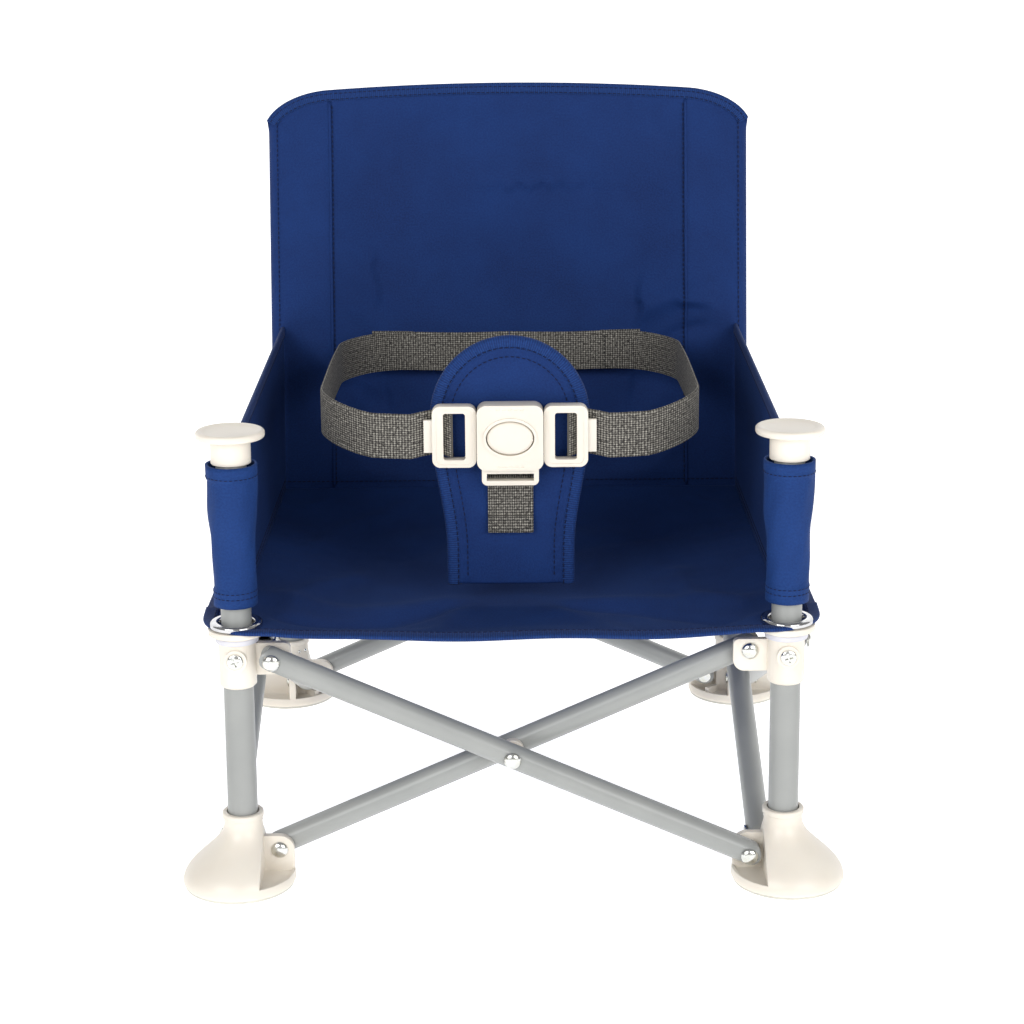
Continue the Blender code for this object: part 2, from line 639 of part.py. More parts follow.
def make_sides_of_cover(fabric):
    """Each side is a sleeve round its front post and a sheet that runs back to the back panel."""
    inner, outer = SLEEVE_BORE_R, SLEEVE_R
    rear = BACK_FRONT_Y - GAP
    low = COVER_LOW
    clear = -HALF + GROMMET_R + GAP
    start = -HALF + (inner + outer) / 2
    sheet = [(start, SLEEVE_LOW), (clear, SLEEVE_LOW), (clear, low), (rear, low)]
    lean = math.tan(BACK_LEAN) * (SIDE_TOP_REAR - BEND_Z)
    sheet += [(rear + lean, SIDE_TOP_REAR), (start, SIDE_TOP_FRONT)]
    for side in ("left", "right"):
        flip = side == "right"
        ring = [(inner, SLEEVE_LOW), (outer, SLEEVE_LOW), (outer, SIDE_TOP_FRONT), (inner, SIDE_TOP_FRONT)]
        sleeve = lathe(ring, FACETS)
        sleeve.transform(Matrix.Translation((-HALF, -HALF, 0)))
        wall = prism(sheet, -HALF - CLOTH_T / 2, -HALF + CLOTH_T / 2)
        wall.transform(Matrix(((0, 0, 1, 0), (1, 0, 0, 0), (0, 1, 0, 0), (0, 0, 0, 1))))
        outward(wall)
        mesh = worked(mirrored(sleeve, flip), ("UNION", mirrored(wall, flip)))
        place = (HALF if flip else -HALF, -HALF, HUB_PIVOT_Z)
        placed("side_panel_" + side, mesh, fabric, origin=place)


# Harness


def make_pad(fabric, webbing):
    wide, narrow = PAD_WIDE / 2, PAD_NARROW / 2
    low = SEAT_TOP + GAP
    crown = PAD_TOP - PAD_WIDE_Z
    outline = [(-narrow, low), (narrow, low), (narrow + PAD_FLARE, (low + PAD_WIDE_Z) / 2)]
    outline += [(x * wide, PAD_WIDE_Z + y * crown) for x, y in arc((0, 0), 1, 0, 180, 12)]
    outline += [(-narrow - PAD_FLARE, (low + PAD_WIDE_Z) / 2)]
    pad = stand_up(prism(outline, PAD_Y - PAD_T / 2, PAD_Y + PAD_T / 2))
    placed("crotch_pad", worked(pad), fabric, origin=(0, PAD_Y, low))
    top = TAIL_LOW - GAP
    back = PAD_FRONT - GAP
    strap = block((-WEB_W / 2, back - WEB_T, STRAP_LOW), (WEB_W / 2, back, top))
    placed("crotch_strap", worked(strap), webbing, origin=(0, PAD_Y, low))


def make_buckle(plastic):
    y0, y1 = BUCKLE_Y - BUCKLE_T / 2, BUCKLE_Y + BUCKLE_T / 2
    w, h = BUCKLE_W / 2, BUCKLE_H / 2
    body = stand_up(prism(rounded(-w, BUCKLE_Z - h, w, BUCKLE_Z + h, BUCKLE_CORNER), y0, y1))
    middle = BUCKLE_Y
    tail_outline = rounded(-TAIL_W / 2, TAIL_LOW, TAIL_W / 2, BUCKLE_Z, TAIL_CORNER)
    tail = stand_up(prism(tail_outline, middle - TAIL_T / 2, middle + TAIL_T / 2))
    slot_low = TAIL_LOW + STRAP_SLOT_LOW
    slot_w = WEB_W / 2 + GAP
    slot = block((-slot_w, y0 - OVER, slot_low), (slot_w, y1 + OVER, slot_low + STRAP_SLOT_H))
    work = [("UNION", tail), ("DIFFERENCE", slot)]
    pocket = [(x, BUCKLE_Z + z) for x, z in ellipse(BUTTON_W + 4 * GAP, BUTTON_H + 4 * GAP, 24)]
    depth = BUTTON_T - BUTTON_STAND + BUTTON_TRAVEL + GAP
    work.append(("DIFFERENCE", stand_up(prism(pocket, y0 - OVER, y0 + depth))))
    tongue_y = BUCKLE_BACK - TONGUE_SKIN - TONGUE_T / 2
    half_h, half_t = TONGUE_H / 2 + GAP, TONGUE_T / 2 + GAP
    for sign in (-1, 1):
        near, far = sorted((sign * (w - TONGUE_L - GAP), sign * (w + OVER)))
        low = (near, tongue_y - half_t, BUCKLE_Z - half_h)
        high = (far, tongue_y + half_t, BUCKLE_Z + half_h)
        work.append(("DIFFERENCE", block(low, high)))
    placed("buckle_body", worked(body, *work), plastic, origin=(0, BUCKLE_Y, BUCKLE_Z))

    face = [(x, BUCKLE_Z + z) for x, z in ellipse(BUTTON_W, BUTTON_H, 24)]
    crest = [(x * BUTTON_CREST, BUCKLE_Z + (z - BUCKLE_Z) * BUTTON_CREST) for x, z in face]
    front = y0 - BUTTON_STAND
    rings = [(crest, front), (face, front + BUTTON_EDGE), (face, front + BUTTON_T)]
    button = loft([[(x, y, z) for x, z in points] for points, y in rings])
    placed("buckle_button", worked(button), plastic, origin=(0, front, BUCKLE_Z))

    clip_back = BUCKLE_BACK - CLIP_BACK
    for side, sign in (("left", -1), ("right", 1)):
        x0, x1 = w + GAP, w + GAP + CLIP_W
        frame = rounded(x0, BUCKLE_Z - CLIP_H / 2, x1, BUCKLE_Z + CLIP_H / 2, CLIP_CORNER)
        plate = stand_up(prism(frame, clip_back - CLIP_T, clip_back))
        tab_low = (x1 - CLIP_ROOT, clip_back - CLIP_TAB_T, BUCKLE_Z - CLIP_TAB_H / 2)
        tab = block(tab_low, (x1 + CLIP_TAB, clip_back, BUCKLE_Z + CLIP_TAB_H / 2))
        tongue = block(
            (w - TONGUE_L, tongue_y - TONGUE_T / 2, BUCKLE_Z - TONGUE_H / 2),
            (x0 + CLIP_ROOT, tongue_y + TONGUE_T / 2, BUCKLE_Z + TONGUE_H / 2),
        )
        middle = (x0 + x1) / 2
        half_slot = CLIP_SLOT_W / 2
        slot_z = WEB_W / 2 + GAP
        slot = block(
            (middle - half_slot, clip_back - 2 * CLIP_T, BUCKLE_Z - slot_z),
            (middle + half_slot, clip_back + CLIP_T, BUCKLE_Z + slot_z),
        )
        parts = [mirrored(bm, sign < 0) for bm in (plate, tab, tongue, slot)]
        mesh = worked(parts[0], ("UNION", parts[1]), ("UNION", parts[2]), ("DIFFERENCE", parts[3]))
        placed("buckle_clip_" + side, mesh, plastic, origin=(sign * w, BUCKLE_Y, BUCKLE_Z))


def make_belt(webbing):
    """Each half runs out from its clip, round the child's side and in along the back panel."""
    start_y = BUCKLE_Y + BELT_SHIFT
    lean = math.tan(BACK_LEAN) * (BUCKLE_Z - WEB_W / 2 - BEND_Z)
    back_y = BACK_FRONT_Y + lean - BELT_BACK - WEB_T / 2
    out, turn, rear_turn = BELT_OUT, BELT_TURN_FRONT, BELT_TURN_REAR
    near = CLIP_END + GAP
    path = [(-near, start_y)]
    path += arc((-out + turn, start_y + turn), turn, -100, -180, 6)
    path += arc((-out + rear_turn, back_y - rear_turn), rear_turn, 180, 90, 6)
    path += [(-GAP, back_y)]
    for side, flip in (("left", False), ("right", True)):
        strip = prism(ribbon(path, WEB_T), BUCKLE_Z - WEB_W / 2, BUCKLE_Z + WEB_W / 2)
        place = (near if flip else -near, start_y, BUCKLE_Z)
        placed("waist_belt_" + side, worked(mirrored(strip, flip)), webbing, origin=place)


def centre_front_to_back():
    """Moves every piece so that the whole seat reaches as far forwards as back of the origin."""
    shown = [o for o in bpy.data.objects if o.type == "MESH"]
    reach = [o.location.y + v.co.y for o in shown for v in o.data.vertices]
    for piece in shown:
        piece.location.y -= (min(reach) + max(reach)) / 2


def main():
    clear_scene()
    fabric = material("blue_fabric", (0.012, 0.036, 0.135), 0.85)
    webbing = material("grey_webbing", (0.10, 0.10, 0.105), 0.9)
    plastic = material("ivory_plastic", (0.82, 0.77, 0.69), 0.4)
    tube = material("grey_paint", (0.43, 0.44, 0.42), 0.4)
    zinc = material("zinc", (0.72, 0.72, 0.70), 0.25, 1.0)
    chrome = material("chrome", (0.85, 0.85, 0.85), 0.12, 1.0)
    make_corners(plastic, tube)
    make_sides(tube, zinc)
    make_post_ends(plastic)
    make_seat(fabric, chrome)
    make_back(fabric)
    make_sides_of_cover(fabric)
    make_pad(fabric, webbing)
    make_buckle(plastic)
    make_belt(webbing)
    centre_front_to_back()


main()
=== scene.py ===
"""Looks of a low folding camp seat for a small child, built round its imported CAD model.

Everything is drawn about the middle of the square base, as the CAD is, and then moved with it. Lengths
are in metres; U and V of every cloth are metres of cloth, so that all weaves have one scale.
"""

import json
import math

import bmesh
import bpy
import numpy as np
from mathutils import Matrix, Vector
from mathutils.bvhtree import BVHTree


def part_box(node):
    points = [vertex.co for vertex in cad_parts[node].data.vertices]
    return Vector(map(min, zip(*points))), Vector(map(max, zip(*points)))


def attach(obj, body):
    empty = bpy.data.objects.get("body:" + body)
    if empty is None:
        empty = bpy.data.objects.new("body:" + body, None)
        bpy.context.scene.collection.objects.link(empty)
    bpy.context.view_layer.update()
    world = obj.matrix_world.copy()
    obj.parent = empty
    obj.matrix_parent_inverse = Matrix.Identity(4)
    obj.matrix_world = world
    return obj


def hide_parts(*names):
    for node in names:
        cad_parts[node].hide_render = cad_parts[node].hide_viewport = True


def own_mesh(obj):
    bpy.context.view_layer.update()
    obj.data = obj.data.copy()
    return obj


MM = 0.001
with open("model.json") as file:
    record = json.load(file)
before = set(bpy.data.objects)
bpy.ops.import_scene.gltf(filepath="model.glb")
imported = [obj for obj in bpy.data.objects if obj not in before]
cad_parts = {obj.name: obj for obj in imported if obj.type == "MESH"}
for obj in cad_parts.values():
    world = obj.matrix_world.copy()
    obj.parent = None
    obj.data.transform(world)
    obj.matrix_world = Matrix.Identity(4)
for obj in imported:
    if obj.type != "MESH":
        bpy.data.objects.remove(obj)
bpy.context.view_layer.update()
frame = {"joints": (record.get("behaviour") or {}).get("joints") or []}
MIDDLE = Vector((0, (Vector(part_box("foot_fl")[0]).y + Vector(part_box("foot_rr")[1]).y) / 2, 0))


def cad(node):
    """A CAD node's lowest and highest corner, about the middle of the base."""
    low, high = (Vector(p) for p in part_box(node))
    return low - MIDDLE, high - MIDDLE


# Sizes read from the frame
POST_LOW, POST_HIGH = cad("post_fl")
HALF = -(POST_LOW.x + POST_HIGH.x) / 2
POST_R = (POST_HIGH.x - POST_LOW.x) / 2
FOOT_LOW, FOOT_HIGH = cad("foot_fl")
FOOT_R = 30.3 * MM
FOOT_SHIFT = -FOOT_LOW.x - HALF - FOOT_R
SOCKET_TOP = FOOT_HIGH.z
HUB_LOW = cad("hub_fl")[0].z
FLANGE_TOP = cad("hub_fl")[1].z
RIVET_FOOT = [sum(p) / 2 for p in zip(*cad("rivet_front_inner_foot"))]
RIVET_HUB = [sum(p) / 2 for p in zip(*cad("rivet_front_inner_hub"))]
PIVOT = -RIVET_FOOT[0]
PIVOT_INSET = HALF - PIVOT
FOOT_PIVOT_Z = RIVET_FOOT[2]
HUB_PIVOT_Z = RIVET_HUB[2]
BRACE_R = (cad("brace_front_inner")[1].y - cad("brace_front_inner")[0].y) / 2
INNER_Y = sum(p.y for p in cad("brace_front_inner")) / 2
OUTER_Y = sum(p.y for p in cad("brace_front_outer")) / 2
BRACE_LENGTH = math.hypot(2 * PIVOT, HUB_PIVOT_Z - FOOT_PIVOT_Z)
BRACE_ANGLE = math.atan2(HUB_PIVOT_Z - FOOT_PIVOT_Z, 2 * PIVOT)
SEAT_LOW, SEAT_HIGH = cad("seat_half_left")
SEAT_TOP = SEAT_HIGH.z
SEAT_WIDE = -SEAT_LOW.x
SEAT_DEEP = -SEAT_LOW.y
BACK_LOW, BACK_HIGH = cad("back_panel")
PAD_LOW, PAD_HIGH = cad("crotch_pad")
BUCKLE_LOW, BUCKLE_HIGH = cad("buckle_body")
BUTTON_LOW, BUTTON_HIGH = cad("buckle_button")
CLIP_BACK = cad("buckle_clip_right")[1].y
BELT_BACK = cad("waist_belt_right")[1].y
STRAP_LOW, STRAP_HIGH = cad("crotch_strap")
CAP_LOW, CAP_HIGH = cad("cap_left")
GROMMET_TOP = cad("grommet_left")[1].z
LEAN = math.tan(math.radians(9.0))
FOLD_X = 125.0 * MM  # the seat's folding lines
LUG_T = 4.0 * MM
SOCKET_R = POST_R + 2.35 * MM
BELL_LOW, BELL_RISE = 3.0 * MM, 30.5 * MM
COLLAR_R = POST_R + 1.8 * MM
RING_LOW, RING_HIGH = 135.5 * MM, 138.7 * MM  # the washer round each hub
SLEEVE_LOW, SLEEVE_HIGH = 156 * MM, 232 * MM
PAD_HALF, PAD_SHOULDER = 43.5 * MM, 240 * MM
WEB_WIDTH = 25 * MM
WEB_STITCH = (2.6 * MM, 2.0 * MM, 0.3 * MM)  # pitch, length and radius

JOINTS = {j["name"]: j for j in frame["joints"]}
FOLD = math.radians(JOINTS["fold"]["range_deg"][1])
KEEP = (HALF * 2 - 2 * PIVOT + BRACE_LENGTH * math.cos(BRACE_ANGLE + FOLD)) / (2 * HALF)

CORNERS = ("fl", "fr", "rr", "rl")
SIDES = ("front", "right", "rear", "left")


# Nodes


class Graph:
    """A material's nodes, made one after another."""

    def __init__(self, name, roughness, metallic=0.0):
        self.material = bpy.data.materials.new(name)
        self.material.use_nodes = True
        self.tree = self.material.node_tree
        self.shader = self.tree.nodes["Principled BSDF"]
        self.set("Roughness", roughness)
        self.set("Metallic", metallic)

    def set(self, socket, value):
        self.shader.inputs[socket].default_value = value

    def node(self, kind, **settings):
        made = self.tree.nodes.new(kind)
        for name, value in settings.items():
            setattr(made, name, value)
        return made

    def link(self, source, target):
        self.tree.links.new(source, target)

    def value(self, operation, first, second=None):
        made = self.node("ShaderNodeMath", operation=operation)
        for socket, given in zip(made.inputs, (first, second)):
            if given is None:
                continue
            if isinstance(given, (int, float)):
                socket.default_value = given
            else:
                self.link(given, socket)
        return made.outputs[0]

    def noise(self, coordinates, scale, detail=3.0, roughness=0.5):
        made = self.node("ShaderNodeTexNoise")
        made.inputs["Scale"].default_value = scale
        made.inputs["Detail"].default_value = detail
        made.inputs["Roughness"].default_value = roughness
        self.link(coordinates, made.inputs["Vector"])
        return made.outputs["Fac"]

    def spread(self, value, low, high, to_low=0.0, to_high=1.0):
        made = self.node("ShaderNodeMapRange")
        for name, given in zip(("From Min", "From Max", "To Min", "To Max"), (low, high, to_low, to_high)):
            made.inputs[name].default_value = given
        self.link(value, made.inputs["Value"])
        return made.outputs["Result"]

    def blend(self, share, first, second):
        made = self.node("ShaderNodeMix", data_type="RGBA")
        if isinstance(share, (int, float)):
            made.inputs["Factor"].default_value = share
        else:
            self.link(share, made.inputs["Factor"])
        for socket, given in ((made.inputs["A"], first), (made.inputs["B"], second)):
            if isinstance(given, tuple):
                socket.default_value = (*given, 1.0)
            else:
                self.link(given, socket)
        return made.outputs["Result"]

    def bump(self, height, distance, strength=1.0, under=None):
        made = self.node("ShaderNodeBump")
        made.inputs["Distance"].default_value = distance
        made.inputs["Strength"].default_value = strength
        self.link(height, made.inputs["Height"])
        if under is not None:
            self.link(under, made.inputs["Normal"])
        return made.outputs["Normal"]

    def cloth_waves(self, pitch_u, pitch_v, diagonal=False):
        """Sine waves along U and V of the cloth, or along its two diagonals."""
        coordinates = self.node("ShaderNodeTexCoord").outputs["UV"]
        parts = self.node("ShaderNodeSeparateXYZ")
        self.link(coordinates, parts.inputs[0])
        u = self.value("MULTIPLY", parts.outputs[0], 2 * math.pi / pitch_u)
        v = self.value("MULTIPLY", parts.outputs[1], 2 * math.pi / pitch_v)
        if diagonal:
            u, v = self.value("ADD", u, v), self.value("SUBTRACT", u, v)
        return coordinates, self.value("SINE", u), self.value("SINE", v)

    def finish(self, colour, normal=None):
        self.link(colour, self.shader.inputs["Base Color"])
        if normal is not None:
            self.link(normal, self.shader.inputs["Normal"])
        return self.material


def fabric_material(name, dark, light, pitch=0.85 * MM, relief=0.10 * MM):
    """Plain-woven polyester: crossing threads, slubs, and slow changes of shade."""
    g = Graph(name, 0.78)
    g.set("Sheen Weight", 0.05)
    g.set("Sheen Roughness", 0.4)
    g.set("Sheen Tint", (0.25, 0.45, 1.0, 1.0))
    g.set("Specular IOR Level", 0.22)
    coordinates, warp, weft = g.cloth_waves(pitch, pitch)
    weave = g.spread(g.value("MULTIPLY", warp, weft), -1, 1)
    slub = g.spread(g.noise(coordinates, 900, 2), 0.35, 0.65)
    shade = g.spread(g.noise(coordinates, 18, 4, 0.6), 0.3, 0.7)
    mixed = g.value("ADD", g.value("MULTIPLY", weave, 0.45), g.value("MULTIPLY", slub, 0.25))
    mixed = g.value("ADD", mixed, g.value("MULTIPLY", shade, 0.3))
    fine = g.bump(weave, relief, 0.7)
    return g.finish(g.blend(mixed, dark, light), g.bump(slub, 0.04 * MM, 0.5, fine))


def tape_material(name, dark, light):
    """Ribbed binding tape."""
    g = Graph(name, 0.75)
    g.set("Sheen Weight", 0.04)
    g.set("Specular IOR Level", 0.22)
    coordinates, along, across = g.cloth_waves(1.25 * MM, 0.9 * MM)
    rib = g.spread(along, -1, 1)
    fleck = g.spread(g.noise(coordinates, 700, 2), 0.3, 0.7)
    mixed = g.value("ADD", g.value("MULTIPLY", rib, 0.6), g.value("MULTIPLY", fleck, 0.4))
    return g.finish(g.blend(mixed, dark, light), g.bump(rib, 0.18 * MM, 0.8))


def webbing_material():
    """Coarse heathered webbing: light flecks on dark diagonal ridges."""
    g = Graph("heathered_webbing", 0.85)
    g.set("Sheen Weight", 0.06)
    g.set("Specular IOR Level", 0.25)
    coordinates, first, second = g.cloth_waves(3.2 * MM, 2.5 * MM, diagonal=True)
    cross = g.spread(g.value("MULTIPLY", first, second), -0.5, 0.9)
    fleck = g.spread(g.noise(coordinates, 650, 2), 0.3, 0.62)
    light = g.value("MULTIPLY", cross, fleck)
    broad = g.spread(g.noise(coordinates, 40, 2), 0.3, 0.7)
    grey = g.blend(g.value("MULTIPLY", light, 0.95), (0.031, 0.029, 0.027), (0.48, 0.455, 0.40))
    grey = g.blend(g.value("MULTIPLY", broad, 0.12), grey, (0.012, 0.012, 0.013))
    return g.finish(grey, g.bump(cross, 0.25 * MM, 0.8))


def plastic_material(name, colour, shade, roughness=0.36):
    """Moulded plastic with a faint grain and slow changes of tint."""
    g = Graph(name, roughness)
    g.set("Subsurface Weight", 0.08)
    g.set("Subsurface Radius", (1.0, 0.8, 0.6))
    g.set("Subsurface Scale", 1.5 * MM)
    place = g.node("ShaderNodeTexCoord").outputs["Object"]
    tint = g.spread(g.noise(place, 30, 3), 0.35, 0.65)
    grain = g.noise(place, 1800, 2)
    return g.finish(g.blend(tint, colour, shade), g.bump(grain, 0.03 * MM, 0.35))


def paint_material():
    """Grey powder coat with a fine orange peel and a few paler scuffs."""
    g = Graph("grey_powder_coat", 0.36)
    g.set("Coat Weight", 0.15)
    g.set("Coat Roughness", 0.3)
    place = g.node("ShaderNodeTexCoord").outputs["Object"]
    tint = g.spread(g.noise(place, 25, 3), 0.35, 0.65)
    scuff = g.spread(g.noise(place, 140, 5, 0.7), 0.68, 0.78)
    grey = g.blend(tint, (0.300, 0.309, 0.300), (0.335, 0.342, 0.331))
    grey = g.blend(g.value("MULTIPLY", scuff, 0.35), grey, (0.55, 0.56, 0.55))
    return g.finish(grey, g.bump(g.noise(place, 1300, 2), 0.05 * MM, 0.4))


def metal_material(name, colour, shade, roughness, scratch):
    g = Graph(name, roughness, 1.0)
    place = g.node("ShaderNodeTexCoord").outputs["Object"]
    tint = g.spread(g.noise(place, 220, 3), 0.35, 0.65)
    worn = g.spread(g.noise(place, 600, 4), 0.3, 0.7, roughness * 0.75, roughness * 1.35)
    g.link(worn, g.shader.inputs["Roughness"])
    return g.finish(g.blend(tint, colour, shade), g.bump(g.noise(place, 900, 3), scratch, 0.3))


NAVY_DARK = (0.0026, 0.0122, 0.070)
NAVY_LIGHT = (0.0074, 0.0405, 0.185)
FABRIC = fabric_material("navy_oxford_cloth", NAVY_DARK, NAVY_LIGHT)
TAPE = tape_material("navy_binding_tape", (0.0028, 0.0145, 0.082), (0.0086, 0.046, 0.196))
THREAD = tape_material("navy_thread", (0.0015, 0.004, 0.025), (0.004, 0.012, 0.060))
WEBBING = webbing_material()
WEB_THREAD = tape_material("charcoal_thread", (0.010, 0.010, 0.011), (0.05, 0.05, 0.05))
IVORY = plastic_material("ivory_plastic", (0.82, 0.765, 0.675), (0.775, 0.715, 0.625))
SOLE = plastic_material("pale_sole", (0.62, 0.61, 0.55), (0.52, 0.51, 0.46), 0.5)
LILAC = plastic_material("pale_washer", (0.66, 0.66, 0.72), (0.60, 0.60, 0.66), 0.4)
PAINT = paint_material()
ZINC = metal_material("bright_zinc", (0.76, 0.77, 0.76), (0.66, 0.66, 0.60), 0.20, 0.03 * MM)
CHROME = metal_material("chrome_plate", (0.62, 0.62, 0.63), (0.52, 0.52, 0.53), 0.12, 0.01 * MM)


# Shapes


def clamped(value):
    return min(max(value, 0), 1)


def eased(share):
    return share * share * (3 - 2 * share)


def linked(name, data):
    made = bpy.data.objects.new(name, data)
    bpy.context.scene.collection.objects.link(made)
    return made


def as_mesh(bm, name="mesh"):
    mesh = bpy.data.meshes.new(name)
    bm.to_mesh(mesh)
    bm.free()
    return mesh


def arc(centre, radius, start, end, steps):
    """Points of an arc between two angles in degrees, both ends included."""
    turns = (math.radians(start + (end - start) * i / steps) for i in range(steps + 1))
    return [(centre[0] + radius * math.cos(t), centre[1] + radius * math.sin(t)) for t in turns]


def rounded(x0, y0, x1, y1, radius, steps=8):
    """A rectangle's outline with round corners, anticlockwise from the lower right."""
    corners = ((x1, y0, -1, 1, -90), (x1, y1, -1, -1, 0), (x0, y1, 1, -1, 90), (x0, y0, 1, 1, 180))
    points = []
    for x, y, inx, iny, start in corners:
        points += arc((x + inx * radius, y + iny * radius), radius, start, start + 90, steps)
    return points


def outward(bm):
    bmesh.ops.recalc_face_normals(bm, faces=bm.faces)
    if bm.calc_volume(signed=True) < 0:
        bmesh.ops.reverse_faces(bm, faces=bm.faces)
    return bm


def lathe(profile, segments=48):
    """Turns (radius, height) points about Z. A profile that ends on the axis is closed there."""
    bm = bmesh.new()
    rows = []
    for radius, height in profile:
        if radius < 1e-7:
            rows.append([bm.verts.new((0, 0, height))])
            continue
        turns = (2 * math.pi * i / segments for i in range(segments))
        rows.append([bm.verts.new((radius * math.cos(t), radius * math.sin(t), height)) for t in turns])
    pairs = list(zip(rows, rows[1:]))
    if len(rows[0]) > 1:
        pairs.append((rows[-1], rows[0]))
    for low, high in pairs:
        for i in range(segments):
            j = (i + 1) % segments
            corners = [low[i % len(low)], low[j % len(low)], high[j % len(high)], high[i % len(high)]]
            bm.faces.new(list(dict.fromkeys(corners)))
    return outward(bm)


def loft(rings):
    """Skins a stack of closed rings with as many points each, and closes both ends."""
    bm = bmesh.new()
    rows = [[bm.verts.new(p) for p in ring] for ring in rings]
    for low, high in zip(rows, rows[1:]):
        for i in range(len(low)):
            j = (i + 1) % len(low)
            bm.faces.new((low[i], low[j], high[j], high[i]))
    bm.faces.new(rows[0])
    bm.faces.new(rows[-1])
    return outward(bm)


def prism(outline, low, high):
    return loft([[(x, y, z) for x, y in outline] for z in (low, high)])


def block(low, high):
    (x0, y0, z0), (x1, y1, z1) = low, high
    return prism([(x0, y0), (x1, y0), (x1, y1), (x0, y1)], z0, z1)


def rod(radius, start, end, segments=32):
    start, end = Vector(start), Vector(end)
    length = (end - start).length
    bm = lathe([(0, 0), (radius, 0), (radius, length), (0, length)], segments)
    turn = Vector((0, 0, 1)).rotation_difference(end - start).to_matrix().to_4x4()
    bm.transform(Matrix.Translation(start) @ turn)
    return bm


def stand_up(bm):
    """Turns what was drawn in X and Y with height Z into X and Z with depth Y."""
    bm.transform(Matrix(((1, 0, 0, 0), (0, 0, 1, 0), (0, 1, 0, 0), (0, 0, 0, 1))))
    return outward(bm)


def mirrored(bm):
    bm.transform(Matrix.Scale(-1, 4, (1, 0, 0)))
    return outward(bm)


def swapped(bm):
    """Exchanges X and Y."""
    bm.transform(Matrix(((0, 1, 0, 0), (1, 0, 0, 0), (0, 0, 1, 0), (0, 0, 0, 1))))
    return outward(bm)


def worked(base, *steps, bevel=0.0, angle=38.0, segments=2):
    """Cuts from or adds to a body in order, rounds its sharp edges, and returns the mesh."""
    scratch = []

    def scratch_object(bm):
        scratch.append(linked("scratch", as_mesh(bm)))
        return scratch[-1]

    body = scratch_object(base)
    for operation, tool in steps:
        change = body.modifiers.new(operation, "BOOLEAN")
        change.operation = operation
        change.solver = "EXACT"
        change.object = scratch_object(tool)
    if bevel:
        edge = body.modifiers.new("edges", "BEVEL")
        edge.width = bevel
        edge.segments = segments
        edge.limit_method = "ANGLE"
        edge.angle_limit = math.radians(angle)
    graph = bpy.context.evaluated_depsgraph_get()
    mesh = bpy.data.meshes.new_from_object(body.evaluated_get(graph))
    for used in scratch:
        bpy.data.objects.remove(used, do_unlink=True)
    return mesh


def quarter(turns):
    return Matrix.Rotation(turns * math.pi / 2, 4, "Z")


def corner_matrix(turns):
    return quarter(turns) @ Matrix.Translation((-HALF, -HALF, 0))


def piece(name, mesh, finish, body, matrix=None, replaces=(), smooth=38.0, squash=None):
    """Links a mesh that is drawn about the middle of the base and ties it to its CAD body."""
    mesh.transform(Matrix.Translation(MIDDLE) @ (matrix or Matrix.Identity(4)))
    mesh.name = name
    mesh.materials.clear()
    mesh.materials.append(finish)
    mesh.shade_smooth()
    if smooth is not None:
        mesh.set_sharp_from_angle(angle=math.radians(smooth))
    made = linked(name, mesh)
    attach(made, body)
    if replaces:
        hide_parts(*replaces)
    if squash:
        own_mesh(made)
    return made


def soft(name, mesh, finish, body, replaces=(), squash=None):
    """A piece that is smooth all over and is drawn where it belongs."""
    return piece(name, mesh, finish, body, None, replaces, None, squash)


# Hard parts


def bell_ring(height, shrink=0.0):
    """The foot's outline at a height: round the post above, wider and further out below."""
    flare = 0.5 * (1 + math.cos(math.pi * clamped((height - BELL_LOW) / BELL_RISE)))
    radius = SOCKET_R + (FOOT_R - SOCKET_R) * flare - shrink
    centre = -FOOT_SHIFT * flare
    return [(x, y, height) for x, y in arc((centre, centre), radius, 0, 360, 72)[:-1]]


def lug_steps(outline, pivot_z):
    """A plate along each side with its rivet's hole."""
    steps = []
    for second in (False, True):
        plate = stand_up(prism(outline, 0, LUG_T))
        low, high = ((PIVOT_INSET, y, pivot_z) for y in (-LUG_T, 2 * LUG_T))
        hole = rod(2.7 * MM, low, high, 24)
        if second:
            plate, hole = swapped(plate), swapped(hole)
        steps += [("UNION", plate), ("DIFFERENCE", hole)]
    return steps


